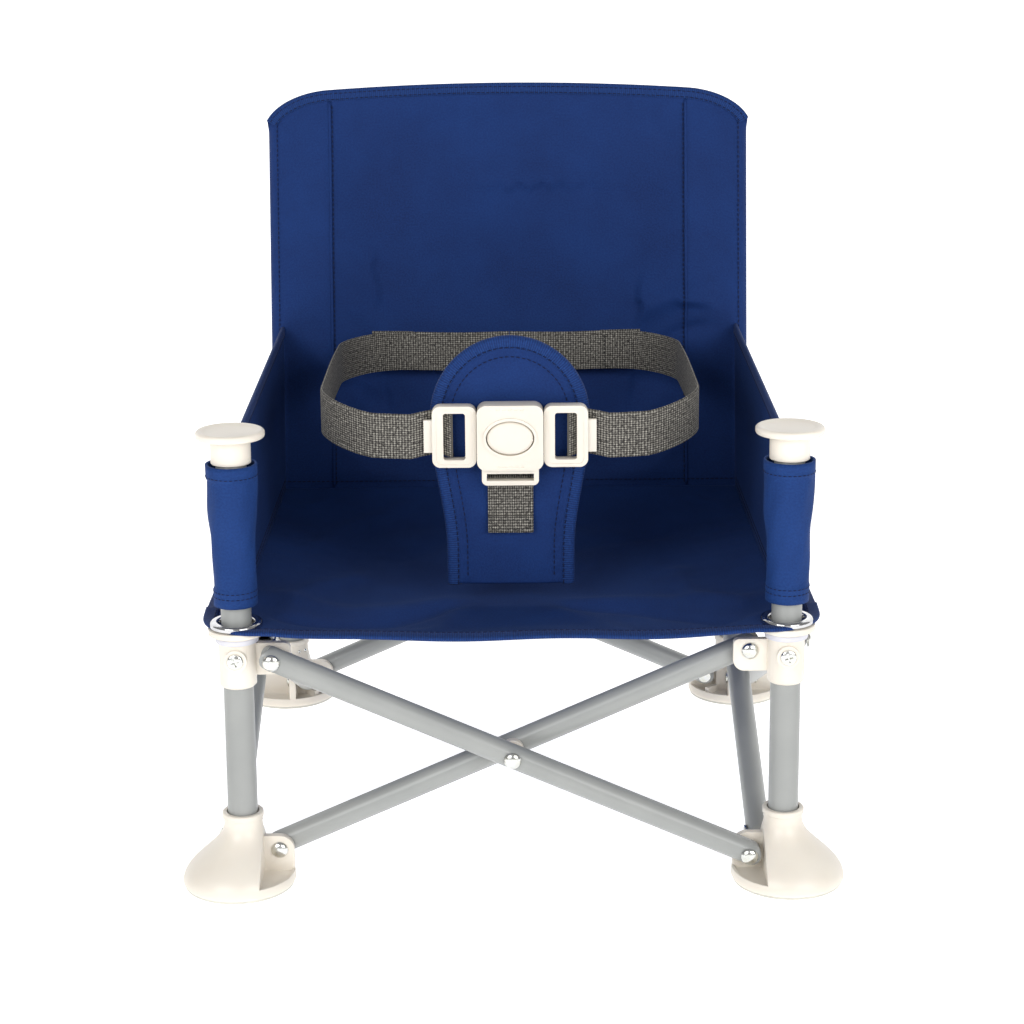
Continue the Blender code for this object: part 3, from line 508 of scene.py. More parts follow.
def foot_mesh():
    sole, plate, rim = 1.5 * MM, 5.0 * MM, 1.5 * MM
    heights = [sole, 2.4 * MM] + [BELL_LOW + BELL_RISE * i / 18 for i in range(19)] + [SOCKET_TOP]
    rings = [bell_ring(z, 0.5 * MM if z == sole else 0.0) for z in heights]
    well = POST_R + 2.7 * MM
    reach = 2 * FOOT_R
    steps = []
    for second in (False, True):
        cut = block((well, -reach, plate + rim), (reach, reach, 2 * SOCKET_TOP))
        r = FOOT_R - 2.0 * MM
        c = -FOOT_SHIFT
        half = math.degrees(math.acos((well - c) / r))
        floor = prism(arc((c, c), r, -half, half, 24), plate, plate + 2 * rim)
        if second:
            cut, floor = swapped(cut), swapped(floor)
        steps += [("DIFFERENCE", cut), ("DIFFERENCE", floor)]
    inside = POST_R
    tip = PIVOT_INSET + 7.8 * MM
    ear = [(inside, plate - 1 * MM), (tip, plate - 1 * MM)]
    ear += arc((PIVOT_INSET, FOOT_PIVOT_Z), 7.8 * MM, 0, 90, 12) + [(inside, FOOT_PIVOT_Z + 7.8 * MM)]
    steps += lug_steps(ear, FOOT_PIVOT_Z)
    rib = block((inside, -1.5 * MM, plate - 1 * MM), (FOOT_R - 6 * MM, 1.5 * MM, 9 * MM))
    rib.transform(Matrix.Rotation(math.pi / 4, 4, "Z"))
    lip = lathe(
        [
            (POST_R, SOCKET_TOP - 3.6 * MM),
            (SOCKET_R, SOCKET_TOP - 3.6 * MM),
            (SOCKET_R + 0.7 * MM, SOCKET_TOP - 2.9 * MM),
            (SOCKET_R + 0.7 * MM, SOCKET_TOP - 0.5 * MM),
            (SOCKET_R + 0.2 * MM, SOCKET_TOP),
            (POST_R, SOCKET_TOP),
        ],
        72,
    )
    bore = rod(POST_R + 0.7 * MM, (0, 0, 6 * MM), (0, 0, 2 * SOCKET_TOP), 48)
    steps += [("UNION", rib), ("UNION", lip), ("DIFFERENCE", bore)]
    return worked(loft(rings), *steps, bevel=0.55 * MM, angle=42)


def hub_mesh(boss_along_x):
    ring_r, flange_r = COLLAR_R + 1.4 * MM, 15 * MM
    outside = [(COLLAR_R - 1.2 * MM, HUB_LOW), (COLLAR_R, HUB_LOW + 1.2 * MM), (COLLAR_R, RING_LOW)]
    outside += [(ring_r, RING_LOW + 0.1 * MM), (ring_r, RING_HIGH - 0.1 * MM)]
    outside += [(flange_r, RING_HIGH + 1.4 * MM), (flange_r, FLANGE_TOP), (0, FLANGE_TOP)]
    z0, z1 = HUB_PIVOT_Z - 11 * MM, HUB_PIVOT_Z + 6.5 * MM
    tip = PIVOT_INSET + 8.8 * MM
    lug = [(POST_R, z0)] + arc((tip - 6 * MM, z0 + 6 * MM), 6 * MM, -90, 0, 10)
    lug += arc((tip - 3 * MM, z1 - 3 * MM), 3 * MM, 0, 90, 6) + [(POST_R, z1)]
    steps = lug_steps(lug, HUB_PIVOT_Z)
    out = -COLLAR_R - 1.8 * MM
    face = (out, 0, HUB_PIVOT_Z) if boss_along_x else (0, out, HUB_PIVOT_Z)
    steps.append(("UNION", rod(6 * MM, (0, 0, HUB_PIVOT_Z), face, 40)))
    bore = rod(POST_R + 0.45 * MM, (0, 0, HUB_LOW - MM), (0, 0, FLANGE_TOP + MM), 48)
    steps.append(("DIFFERENCE", bore))
    return worked(lathe([(0, HUB_LOW), *outside], 56), *steps, bevel=0.5 * MM, angle=40)


def screw_mesh():
    """A cross-recessed pan head, its bearing face at the origin and its top along +Z."""
    profile = [(0, 0), (4.2 * MM, 0), (4.3 * MM, 0.6 * MM), (3.9 * MM, 1.25 * MM), (2.8 * MM, 1.7 * MM)]
    head = lathe(profile + [(0, 1.85 * MM)], 40)
    slots = []
    for turn in (0.3, 0.3 + math.pi / 2):
        slot = block((-2.4 * MM, -0.42 * MM, 0.7 * MM), (2.4 * MM, 0.42 * MM, 3 * MM))
        slot.transform(Matrix.Rotation(turn, 4, "Z"))
        slots.append(("DIFFERENCE", slot))
    return worked(head, *slots, bevel=0.12 * MM, angle=35)


def make_corners():
    foot = foot_mesh()
    inside, near, out = COLLAR_R - MM, COLLAR_R + 1.2 * MM, COLLAR_R + 1.65 * MM
    ring = [(inside, RING_LOW), (near, RING_LOW), (out, RING_LOW + 0.4 * MM)]
    ring += [(out, RING_HIGH - 0.4 * MM), (near, RING_HIGH), (inside, RING_HIGH)]
    stud_r, stud_edge = 1.3 * MM, 0.9 * MM
    stud = [(0, -stud_r), (stud_edge, -stud_edge), (stud_r, 0), (stud_edge, stud_edge), (0, stud_r)]
    for turns, corner in enumerate(CORNERS):
        where = corner_matrix(turns)
        foot_body, hub_body = "foot_" + corner, "hub_" + corner
        piece("moulded_foot_" + corner, foot.copy(), IVORY, foot_body, where, [foot_body])
        sole = loft([bell_ring(z, 0.9 * MM) for z in (0.0, 1.6 * MM)])
        piece("sole_" + corner, worked(sole, bevel=0.3 * MM), SOLE, foot_body, where)
        for spread in (-14, 14):
            turn = math.radians(45 + spread)
            away = POST_R + 2.3 * MM
            at = where @ Matrix.Translation((away * math.cos(turn), away * math.sin(turn), 33 * MM))
            name = "detent_stud_%s_%d" % (corner, spread > 0)
            piece(name, worked(lathe(stud, 16)), ZINC, foot_body, at, smooth=None)
        boss_along_x = turns % 2 == 1
        piece("moulded_hub_" + corner, hub_mesh(boss_along_x), IVORY, hub_body, where, [hub_body])
        piece("hub_washer_" + corner, worked(lathe(ring, 56), bevel=0.25 * MM), LILAC, hub_body, where)
        out = -COLLAR_R - 1.75 * MM
        turn = Matrix.Rotation(math.pi / 2, 4, "X")
        if boss_along_x:
            at = Matrix.Translation((out, 0, HUB_PIVOT_Z)) @ Matrix.Rotation(-math.pi / 2, 4, "Z") @ turn
        else:
            at = Matrix.Translation((0, out, HUB_PIVOT_Z)) @ turn
        piece("hub_screw_" + corner, screw_mesh(), ZINC, hub_body, where @ at)
        rear = turns > 1
        top = cad("post_" + corner)[1].z
        low = 6.3 * MM
        stations = [low + (top - low) * i / 60 for i in range(61)] if rear else [low, top - 0.6 * MM]
        wall = [(POST_R, z) for z in stations] + [(POST_R - 0.4 * MM, top)]
        wall += [(POST_R - 1.2 * MM, top), (POST_R - 1.2 * MM, low)]
        mesh = worked(lathe(wall, 48))
        mesh.transform(where)
        if rear:
            lean_mesh(mesh)
        piece("painted_post_" + corner, mesh, PAINT, hub_body, None, ["post_" + corner])


def lean_at(z):
    """How far the back leans back at a height, with the posts' bend drawn out smoothly."""
    above, soft = z - SEAT_TOP, 9 * MM
    if above <= -soft:
        return 0.0
    return LEAN * (above if above >= soft else (above + soft) ** 2 / (4 * soft))


def lean_mesh(mesh):
    for vertex in mesh.vertices:
        vertex.co.y += lean_at(vertex.co.z)


def brace_mesh():
    """A tube from one pivot at the origin to the other along +X, with round flattened ends."""
    rings = []
    for end, sign in ((0.0, -1), (BRACE_LENGTH, 1)):
        stations = [math.radians(t) for t in (80, 66, 52, 38, 25, 12, 0)]
        for turn in stations[::-sign]:
            height = BRACE_R * math.cos(turn)
            flat = 1.0 - 0.16 * math.sin(turn) ** 2
            ring = []
            for y, z in arc((0, 0), BRACE_R, 0, 360, 36)[:-1]:
                ring.append((end + sign * BRACE_R * math.sin(turn), y * flat, min(max(z, -height), height)))
            rings.append(ring)
    far = BRACE_LENGTH
    rings[7:7] = [[(far * share, y, z) for _, y, z in rings[6]] for share in (0.25, 0.5, 0.75)]
    over = BRACE_R + MM
    steps = [("DIFFERENCE", rod(BRACE_R - 1.1 * MM, (-over, 0, 0), (far + over, 0, 0), 36))]
    for x in (0, far / 2, far):
        steps.append(("DIFFERENCE", rod(2.7 * MM, (x, -2 * BRACE_R, 0), (x, 2 * BRACE_R, 0), 24)))
    return worked(loft(rings), *steps, bevel=0.3 * MM, angle=45)


def rivet_mesh(x, z, y0, y1):
    """A rivet along Y with its domed head before y0 and its tail behind y1."""
    head, dome, tail = 4.5 * MM, 2.2 * MM, 4.0 * MM
    profile = [(head * math.sin(t), -dome * math.cos(t)) for t in (0, 0.3, 0.6, 0.9, 1.15, 1.35)]
    profile += [(head, -0.35 * MM), (head * 0.98, 0), (2.4 * MM, 0), (2.4 * MM, y1 - y0), (tail, y1 - y0)]
    profile += [(tail * 0.97, y1 - y0 + 0.9 * MM), (tail * 0.6, y1 - y0 + 1.3 * MM), (0, y1 - y0 + 1.4 * MM)]
    bm = lathe(profile, 36)
    bm.transform(Matrix.Translation((x, y0, z)) @ Matrix.Rotation(-math.pi / 2, 4, "X"))
    return worked(bm)


def make_sides():
    brace = brace_mesh()
    plate_y = (-HALF, -HALF + LUG_T)
    gap = 0.3 * MM
    for turns, side in enumerate(SIDES):
        where = quarter(turns)
        for layer in ("inner", "outer"):
            outer = layer == "outer"
            y = OUTER_Y if outer else INNER_Y
            foot = Vector((PIVOT if outer else -PIVOT, y, FOOT_PIVOT_Z))
            hub = Vector((-foot.x, y, HUB_PIVOT_Z))
            tilt = math.pi + BRACE_ANGLE if outer else -BRACE_ANGLE
            laid = Matrix.Translation(foot) @ Matrix.Rotation(tilt, 4, "Y")
            name = "brace_" + side + "_" + layer
            piece("painted_" + name, brace.copy(), PAINT, name, where @ laid, [name])
            before = (y - BRACE_R if outer else plate_y[0]) - gap
            behind = (plate_y[1] if outer else y + BRACE_R) + gap
            for end, point in (("foot", foot), ("hub", hub)):
                stem = "rivet_%s_%s_%s" % (side, layer, end)
                mesh = rivet_mesh(point.x, point.z, before, behind)
                piece("domed_" + stem, mesh, ZINC, name, where, [stem])
        middle = (FOOT_PIVOT_Z + HUB_PIVOT_Z) / 2
        body = "brace_" + side + "_outer"
        mesh = rivet_mesh(0, middle, OUTER_Y - BRACE_R - gap, INNER_Y + BRACE_R + gap)
        piece("domed_rivet_%s_centre" % side, mesh, ZINC, body, where, ["rivet_%s_centre" % side])
        low, high = OUTER_Y + BRACE_R + 0.1 * MM, INNER_Y - BRACE_R - 0.1 * MM
        spacer = [(2.6 * MM, 0), (5.6 * MM, 0), (6.0 * MM, 0.5 * MM), (6.0 * MM, high - low - 0.5 * MM)]
        spacer += [(5.6 * MM, high - low), (2.6 * MM, high - low)]
        bm = lathe(spacer, 40)
        bm.transform(Matrix.Translation((0, low, middle)) @ Matrix.Rotation(-math.pi / 2, 4, "X"))
        piece("crossing_spacer_" + side, worked(bm), IVORY, body, where)


def make_post_ends():
    top, rim, neck = CAP_HIGH.z, (CAP_HIGH.x - CAP_LOW.x) / 2, POST_R + 2.5 * MM
    low, disc = CAP_LOW.z, CAP_HIGH.z - 4.2 * MM
    profile = [(0, 243.3 * MM), (POST_R + 0.3 * MM, 243.3 * MM), (POST_R + 0.3 * MM, low)]
    profile += [(neck - 0.4 * MM, low), (neck, low + 0.4 * MM), (neck, disc - 0.8 * MM)]
    profile += [(neck + 0.8 * MM, disc), (rim - 2.0 * MM, disc)]
    profile += arc((rim - 1.5 * MM, disc + 1.5 * MM), 1.5 * MM, -60, 0, 4)
    profile += arc((rim - 1.6 * MM, top - 1.6 * MM), 1.6 * MM, 10, 90, 6)
    profile += [(rim - 3.2 * MM, top - 0.1 * MM), (rim - 4.4 * MM, top - 0.6 * MM)]
    profile += [(rim - 6.0 * MM, top - 0.95 * MM), (0, top - 0.75 * MM)]
    plug_low, plug_high = cad("post_plug_rr")[0].z, cad("post_plug_rr")[1].z
    r = POST_R - 1.6 * MM
    seat = plug_high - 2.5 * MM
    plug = [(0, plug_low), (r, plug_low), (r, seat), (POST_R, seat), (POST_R, seat + 1.2 * MM)]
    plug += arc((POST_R - 1.2 * MM, plug_high - 1.3 * MM), 1.2 * MM, 0, 90, 4) + [(0, plug_high)]
    for name, node, turns, outline in (
        ("dished_cap_left", "cap_left", 0, profile),
        ("dished_cap_right", "cap_right", 1, profile),
        ("round_plug_rr", "post_plug_rr", 2, plug),
        ("round_plug_rl", "post_plug_rl", 3, plug),
    ):
        mesh = worked(lathe(outline, 64))
        mesh.transform(corner_matrix(turns))
        if turns > 1:
            lean_mesh(mesh)
        piece(name, mesh, IVORY, "hub_" + CORNERS[turns], None, [node])


def make_grommets():
    z = SEAT_LOW.z
    inner, outer = 9.5 * MM, 14.0 * MM
    profile = [(inner, z), (outer - 0.6 * MM, z), (outer, z + 0.7 * MM), (outer, SEAT_TOP + 0.3 * MM)]
    profile += arc((outer - 1.5 * MM, SEAT_TOP + 0.4 * MM), 1.5 * MM, 0, 80, 5)
    profile += [((inner + outer) / 2, GROMMET_TOP)]
    profile += arc((inner + 1.4 * MM, SEAT_TOP + 0.4 * MM), 1.4 * MM, 100, 180, 5)
    for turns, side in enumerate(("left", "right")):
        mesh = worked(lathe(profile, 56))
        body = "hub_" + CORNERS[turns]
        piece("rolled_grommet_" + side, mesh, CHROME, body, corner_matrix(turns), ["grommet_" + side])


# Cloth


def grid(us, vs, place):
    """A sheet over every U and V, with both as its UV map, in metres."""
    bm = bmesh.new()
    layer = bm.loops.layers.uv.new("UVMap")
    rows = [[bm.verts.new(place(u, v)) for u in us] for v in vs]
    for j in range(len(vs) - 1):
        for i in range(len(us) - 1):
            face = bm.faces.new((rows[j][i], rows[j][i + 1], rows[j + 1][i + 1], rows[j + 1][i]))
            for loop, (a, b) in zip(face.loops, ((i, j), (i + 1, j), (i + 1, j + 1), (i, j + 1))):
                loop[layer].uv = (us[a], vs[b])
    return as_mesh(bm)


def steps_between(low, high, pitch):
    count = max(2, round((high - low) / pitch))
    return [low + (high - low) * i / count for i in range(count + 1)]


def baked(made):
    """An object's mesh after its modifiers. The object is removed."""
    graph = bpy.context.evaluated_depsgraph_get()
    shown = made.evaluated_get(graph)
    mesh = bpy.data.meshes.new_from_object(shown, preserve_all_data_layers=True, depsgraph=graph)
    bpy.data.objects.remove(made, do_unlink=True)
    return mesh


def changed(mesh, *changes):
    """The mesh after modifiers, each given as (kind, settings)."""
    made = linked("scratch", mesh)
    for kind, settings in changes:
        change = made.modifiers.new(kind, kind)
        for name, value in settings.items():
            setattr(change, name, value)
    return baked(made)


def simulated(mesh, pin, frames, slack, gravity, pressure=0.0, stiffness=12.0, bending=0.35, most=0.012):
    """Cloth over a few frames, where pin gives each point's hold from 0 to 1, and no point moves far."""
    made = linked("cloth", mesh)
    start = [v.co.copy() for v in mesh.vertices]
    group = made.vertex_groups.new(name="pin")
    for index, point in enumerate(start):
        hold = pin(point)
        if hold > 0:
            group.add([index], min(hold, 1.0), "REPLACE")
    cloth = made.modifiers.new("cloth", "CLOTH")
    s = cloth.settings
    s.vertex_group_mass = "pin"
    s.quality = 6
    s.mass = 0.15
    s.tension_stiffness = stiffness
    s.compression_stiffness = stiffness
    s.shear_stiffness = stiffness / 2
    s.bending_stiffness = bending
    s.shrink_min = -slack
    s.effector_weights.gravity = gravity
    if pressure:
        s.use_pressure = True
        s.uniform_pressure_force = pressure
    cloth.collision_settings.use_collision = False
    cloth.point_cache.frame_start = 1
    cloth.point_cache.frame_end = frames
    scene = bpy.context.scene
    for number in range(1, frames + 1):
        scene.frame_set(number)
    result = baked(made)
    scene.frame_set(1)
    for vertex, origin in zip(result.vertices, start):
        move = vertex.co - origin
        if move.length > most:
            vertex.co = origin + move * (most / move.length)
    return result


def split_at(mesh, cuts):
    """The mesh cut by planes across X, from -X to +X, each part with the whole mesh's shading."""
    bm = bmesh.new()
    bm.from_mesh(mesh)
    for cut in cuts:
        everything = bm.verts[:] + bm.edges[:] + bm.faces[:]
        bmesh.ops.bisect_plane(bm, geom=everything, plane_co=(cut, 0, 0), plane_no=(1, 0, 0), dist=1e-6)
    bm.normal_update()
    normals = {tuple(round(c, 7) for c in v.co): v.normal.copy() for v in bm.verts}
    bounds = [-1.0, *cuts, 1.0]
    parts = []
    for low, high in zip(bounds, bounds[1:]):
        part = bm.copy()
        outside = [f for f in part.faces if not low < f.calc_center_median().x < high]
        bmesh.ops.delete(part, geom=outside, context="FACES")
        made = as_mesh(part)
        parts.append((made, [normals[tuple(round(c, 7) for c in v.co)] for v in made.vertices]))
    bm.free()
    return parts


def joined(meshes):
    bm = bmesh.new()
    for mesh in meshes:
        bm.from_mesh(mesh)
    return as_mesh(bm)


def surface_of(mesh):
    bm = bmesh.new()
    bm.from_mesh(mesh)
    tree = BVHTree.FromBMesh(bm)
    bm.free()
    return tree


def onto(tree, point, direction, lift=0.0):
    """Where a ray from well before the point meets the surface, raised by lift towards its start."""
    away = Vector(direction).normalized()
    start = Vector(point) - away * 0.05
    hit = tree.ray_cast(start, away, 0.12)[0]
    if hit is None:
        hit = Vector(point)
    return hit - away * lift


def evened(points, pitch):
    """Points every pitch along a line through the given ones."""
    points = [Vector(p) for p in points]
    total = [0.0]
    for a, b in zip(points, points[1:]):
        total.append(total[-1] + (b - a).length)
    count = max(1, round(total[-1] / pitch))
    result, k = [], 0
    for i in range(count + 1):
        at = total[-1] * i / count
        while k < len(points) - 2 and total[k + 1] < at:
            k += 1
        span = total[k + 1] - total[k]
        share = (at - total[k]) / span if span else 0.0
        result.append(points[k].lerp(points[k + 1], clamped(share)))
    return result


def stitching(points, pitch=3.1 * MM, length=2.35 * MM, radius=0.33 * MM):
    """A row of short plump stitches along a line."""
    bm = bmesh.new()
    line = evened(points, pitch)
    for a, b in zip(line, line[1:]):
        along = b - a
        if along.length < 1e-6:
            continue
        along.normalize()
        middle = (a + b) / 2
        side = along.orthogonal().normalized()
        other = along.cross(side)
        rows = []
        for place, size in ((-0.5, 0.25), (-0.32, 0.85), (0, 1.0), (0.32, 0.85), (0.5, 0.25)):
            centre = middle + along * (place * length)
            ring = []
            for k in range(6):
                turn = math.pi * k / 3
                out = (side * math.cos(turn) + other * math.sin(turn)) * (radius * size)
                ring.append(bm.verts.new(centre + out))
            rows.append(ring)
        for low, high in zip(rows, rows[1:]):
            for k in range(6):
                bm.faces.new((low[k], low[(k + 1) % 6], high[(k + 1) % 6], high[k]))
        bm.faces.new(rows[0][::-1])
        bm.faces.new(rows[-1])
    bmesh.ops.recalc_face_normals(bm, faces=bm.faces)
    return as_mesh(bm)


def swept(centres, outs, section, closed=False):
    """A band swept along points. outs are (across, up) directions at each, section points lie in them."""
    bm = bmesh.new()
    layer = bm.loops.layers.uv.new("UVMap")
    rows = []
    for centre, (across, up) in zip(centres, outs):
        rows.append([bm.verts.new(Vector(centre) + across * a + up * b) for a, b in section])
    far = [0.0]
    for a, b in zip(centres, centres[1:]):
        far.append(far[-1] + (Vector(b) - Vector(a)).length)
    round_about = [0.0]
    for a, b in zip(section, section[1:] + section[:1]):
        round_about.append(round_about[-1] + math.dist(a, b))
    count = len(section)
    pairs = [(i, i + 1) for i in range(len(rows) - 1)]
    if closed:
        pairs.append((len(rows) - 1, 0))
        far.append(far[-1] + (Vector(centres[0]) - Vector(centres[-1])).length)
    for i, j in pairs:
        for k in range(count):
            m = (k + 1) % count
            face = bm.faces.new((rows[i][k], rows[i][m], rows[j][m], rows[j][k]))
            corners = ((far[i], round_about[k]), (far[i], round_about[k + 1]))
            corners += ((far[i + 1], round_about[k + 1]), (far[i + 1], round_about[k]))
            for loop, uv in zip(face.loops, corners):
                loop[layer].uv = uv
    if not closed:
        bm.faces.new(rows[0])
        bm.faces.new(rows[-1])
    return as_mesh(outward(bm))


def band_section(width, thickness, steps=3):
    """A flat band's section with round edges, centred."""
    r = thickness / 2
    w = width / 2 - r
    points = []
    for sign, start in ((1, -math.pi / 2), (-1, math.pi / 2)):
        for turn in np.linspace(start, start + math.pi, 2 * steps + 1):
            points.append((float(sign * w + r * math.cos(turn)), float(r * math.sin(turn))))
    return points


def split_pieces(stem, part, layers, body, nodes=(), squash=None):
    """One part of every layer of a split cloth, each layer given as (ending, finish, parts)."""
    made = []
    for ending, finish, parts in layers:
        mesh, normals = parts[part]
        if mesh.polygons:
            whole = soft(stem + ending, mesh, finish, body, () if ending else nodes, squash)
            whole.data.normals_split_custom_set_from_vertices(normals)
            made.append(whole)
    return made


SEAT_CORNER = 30 * MM


def seat_half_width(y):
    """Half the seat's width at a place from front to back."""
    past = abs(y) - (SEAT_DEEP - SEAT_CORNER)
    if past <= 0:
        return SEAT_WIDE
    past = min(past / SEAT_CORNER, 1.0)
    return SEAT_WIDE - SEAT_CORNER * (1 - math.sqrt(max(1 - past * past, 0)))


def seat_edge(inset, count=220):
    """The seat's outline drawn in by inset, anticlockwise from the front middle."""
    r = SEAT_CORNER - inset
    x, y = SEAT_WIDE - inset, SEAT_DEEP - inset
    points = [(0, -y)] + rounded(-x, -y, x, y, r, 12)
    points = [Vector((a, b, 0)) for a, b in points] + [Vector((0, -y, 0))]
    return evened(points, 1 / count)


def seat_rise(x, y):
    """The pinned parts' height: the front edge droops a little, and the corners curl up."""
    middle = (SEAT_LOW.z + SEAT_TOP) / 2
    front = max(0.0, (-y - HALF + 4 * MM) / (SEAT_DEEP - HALF + 4 * MM))
    between = max(0.0, 1 - (abs(x) / (HALF - 18 * MM)) ** 4) if abs(x) < HALF - 18 * MM else 0.0
    droop = -3.2 * MM * front * between
    tip = max(0.0, math.hypot(abs(x) - HALF, abs(y) - HALF) - 16 * MM) / (16 * MM)
    outside = abs(x) > HALF and abs(y) > HALF - 25 * MM
    curl = 2.0 * MM * min(tip, 1.0) ** 1.5 if outside else 0.0
    wave = 0.7 * MM * math.sin(x / (17 * MM)) * front * between
    return middle + droop + curl + wave


def to_edge(x, y):
    """Distance in from the seat's outline."""
    inx, iny = SEAT_WIDE - abs(x), SEAT_DEEP - abs(y)
    if inx < SEAT_CORNER and iny < SEAT_CORNER:
        return SEAT_CORNER - math.hypot(SEAT_CORNER - inx, SEAT_CORNER - iny)
    return min(inx, iny)


def from_post(x, y):
    return math.hypot(abs(x) - HALF, abs(y) - HALF)


def make_seat():
    rows = steps_between(-SEAT_DEEP, SEAT_DEEP, 4.6 * MM)
    extra = [s * (SEAT_DEEP - d * MM) for s in (-1, 1) for d in (0.6, 1.6, 3.0)]
    rows = sorted(rows + extra)
    shares = steps_between(-1, 1, 4.6 * MM / SEAT_WIDE)

    def place(u, v):
        x = u / SEAT_WIDE * seat_half_width(v)
        return Vector((x, v, seat_rise(x, v)))

    mesh = grid([s * SEAT_WIDE for s in shares], rows, place)

    def pin(point):
        edge = to_edge(point.x, point.y)
        near = from_post(point.x, point.y)
        rear = point.y > BACK_LOW.y - 4 * MM
        if edge < 9 * MM or near < 19 * MM or rear:
            return 1.0
        if abs(point.x) > HALF - 2 * MM and abs(point.y) < HALF:
            return 1.0
        return 0.0

    mesh = simulated(mesh, pin, 22, 0.006, 0.5, bending=0.6, most=0.011)
    mesh = changed(mesh, ("SUBSURF", {"levels": 1}))
    for vertex in mesh.vertices:
        p = vertex.co
        clear = clamped((to_edge(p.x, p.y) - 9 * MM) / (8 * MM))
        clear *= clamped((from_post(p.x, p.y) - 20 * MM) / (8 * MM))
        clear *= clamped((BACK_LOW.y - p.y - 2 * MM) / (8 * MM))
        p.z += creased(p.x, p.y, SEAT_CREASES) * clear
    bm = bmesh.new()
    bm.from_mesh(mesh)
    holes = []
    for face in bm.faces:
        x, y, _ = face.calc_center_median()
        if from_post(x, y) < (11.6 * MM if y < 0 else 8.2 * MM):
            holes.append(face)
    bmesh.ops.delete(bm, geom=holes, context="FACES")
    bm.to_mesh(mesh)
    bm.free()
    edge = seat_edge(3.6 * MM, 420)
    centres, outs = [], []
    for a, b, c in zip(edge[-2:-1] + edge[:-2], edge[:-1], edge[1:]):
        along = (c - a).normalized()
        across = Vector((along.y, -along.x, 0))
        centre = Vector((b.x, b.y, seat_rise(b.x, b.y)))
        rim = b + across * 3.4 * MM
        tilt = seat_rise(rim.x, rim.y) - centre.z
        across = Vector((across.x, across.y, tilt / (3.4 * MM))).normalized()
        centres.append(centre)
        outs.append((across, Vector((0, 0, 1))))
    tape = swept(centres, outs, band_section(7.6 * MM, 2.3 * MM), closed=True)
    row = [Vector((p.x, p.y, seat_rise(p.x, p.y) + 1.15 * MM)) for p in seat_edge(6.0 * MM, 420)]
    stitches = stitching(row)
    cuts = (-FOLD_X, 0.0, FOLD_X)
    names = ("seat_margin_left", "seat_cloth_left", "seat_cloth_right", "seat_margin_right")
    bodies = ("hub_fl", "seat_left", "seat_right", "hub_fr")
    stands = ([], ["seat_half_left"], ["seat_half_right"], [])
    fold = ((0, 1, 0), (0, -HALF, SEAT_TOP), KEEP)
    layers = [("", FABRIC, mesh), ("_binding", TAPE, tape), ("_stitching", THREAD, stitches)]
    layers = [(ending, finish, split_at(whole, cuts)) for ending, finish, whole in layers]
    for k, (name, body, nodes) in enumerate(zip(names, bodies, stands)):
        made = split_pieces(name, k, layers, body, nodes, fold)


# Creases, each a soft ridge (x0, v0, x1, v1, width, height) in millimetres over a sheet

BACK_CREASES = (
    (58, 236, 142, 268, 7, 2.2),
    (88, 226, 134, 246, 4, -1.6),
    (112, 262, 143, 250, 2.6, 2.0),
    (30, 222, 84, 262, 12, 1.8),
    (-40, 268, -104, 288, 16, 1.4),
    (-96, 214, -140, 250, 6, 1.8),
    (10, 330, 96, 352, 18, 1.1),
    (-70, 350, -20, 372, 16, -1.0),
    (60, 190, 108, 216, 9, -1.6),
    (-104, 180, -50, 206, 9, -1.5),
)
SEAT_CREASES = (
    (36, -84, 112, -128, 7, -2.0),
    (38, -78, 128, -96, 9, 1.6),
    (-36, -84, -116, -122, 8, -2.0),
    (-38, -76, -126, -84, 11, 1.5),
    (-30, -92, -62, -146, 8, 1.2),
    (28, -94, 58, -148, 8, 1.2),
    (-120, -110, -92, -30, 9, 1.4),
    (124, -104, 96, -24, 8, 1.6),
    (-60, 20, 10, 74, 14, -1.6),
    (20, 10, 92, 60, 12, -1.5),
    (-112, 30, -70, 104, 9, 1.3),
)


def creased(x, v, creases):
    """The height that creases add at a place on a sheet."""
    total = 0.0
    for x0, v0, x1, v1, width, height in creases:
        a, b = Vector((x0, v0)), Vector((x1, v1))
        along = (b - a).normalized()
        rel = Vector((x / MM, v / MM)) - a
        far, length = rel.dot(along), (b - a).length
        bend = 0.12 * length * math.sin(math.pi * clamped(far / length))
        off = rel.dot(Vector((-along.y, along.x))) - bend
        end = max(-far, far - length, 0) / (width * 1.5)
        total += height * math.exp(-((off / width) ** 2) - end * end)
    return 1.5 * total * MM


# Back

BACK_MID_Y = BACK_LOW.y + 0.75 * MM
BACK_BOTTOM = BACK_LOW.z - 1.1 * MM
BACK_WIDE = BACK_HIGH.x
BACK_RISE = BACK_HIGH.z
TUNNEL_MID = BACK_WIDE - 0.75 * MM - HALF
SEAM_X = 113.8 * MM


def back_top(x):
    arch = 7 * MM * (x / BACK_WIDE) ** 2
    past = clamped((abs(x) - (BACK_WIDE - 40 * MM)) / (40.6 * MM))
    return BACK_RISE - arch - 22 * MM * (1 - math.sqrt(1 - past * past))


def back_section():
    """The back's cloth seen from above, from the left tunnel's seam round its front to the right one's."""
    y_front, y_back = BACK_MID_Y, 2 * HALF - BACK_MID_Y
    left = [(-SEAM_X, y_front + 1.6 * MM), (-SEAM_X - 5 * MM, y_front + 7 * MM)]
    left += [(-SEAM_X - 11 * MM, y_back - 2 * MM), (-HALF + 8 * MM, y_back)]
    turn = arc((-HALF, HALF), TUNNEL_MID, 90, 270, 14)
    return left + turn + [(-x, y) for x, y in (left + turn)[::-1]]


def back_place(x, y, z):
    """A point of the back's cloth, its tunnels pinched shut towards the top, leant back."""
    top = back_top(x)
    pinch = 0.06 + 0.94 * eased(clamped((top - z) / (9 * MM)))
    y = BACK_MID_Y + (y - BACK_MID_Y) * pinch
    return Vector((x, y + lean_at(z), z))


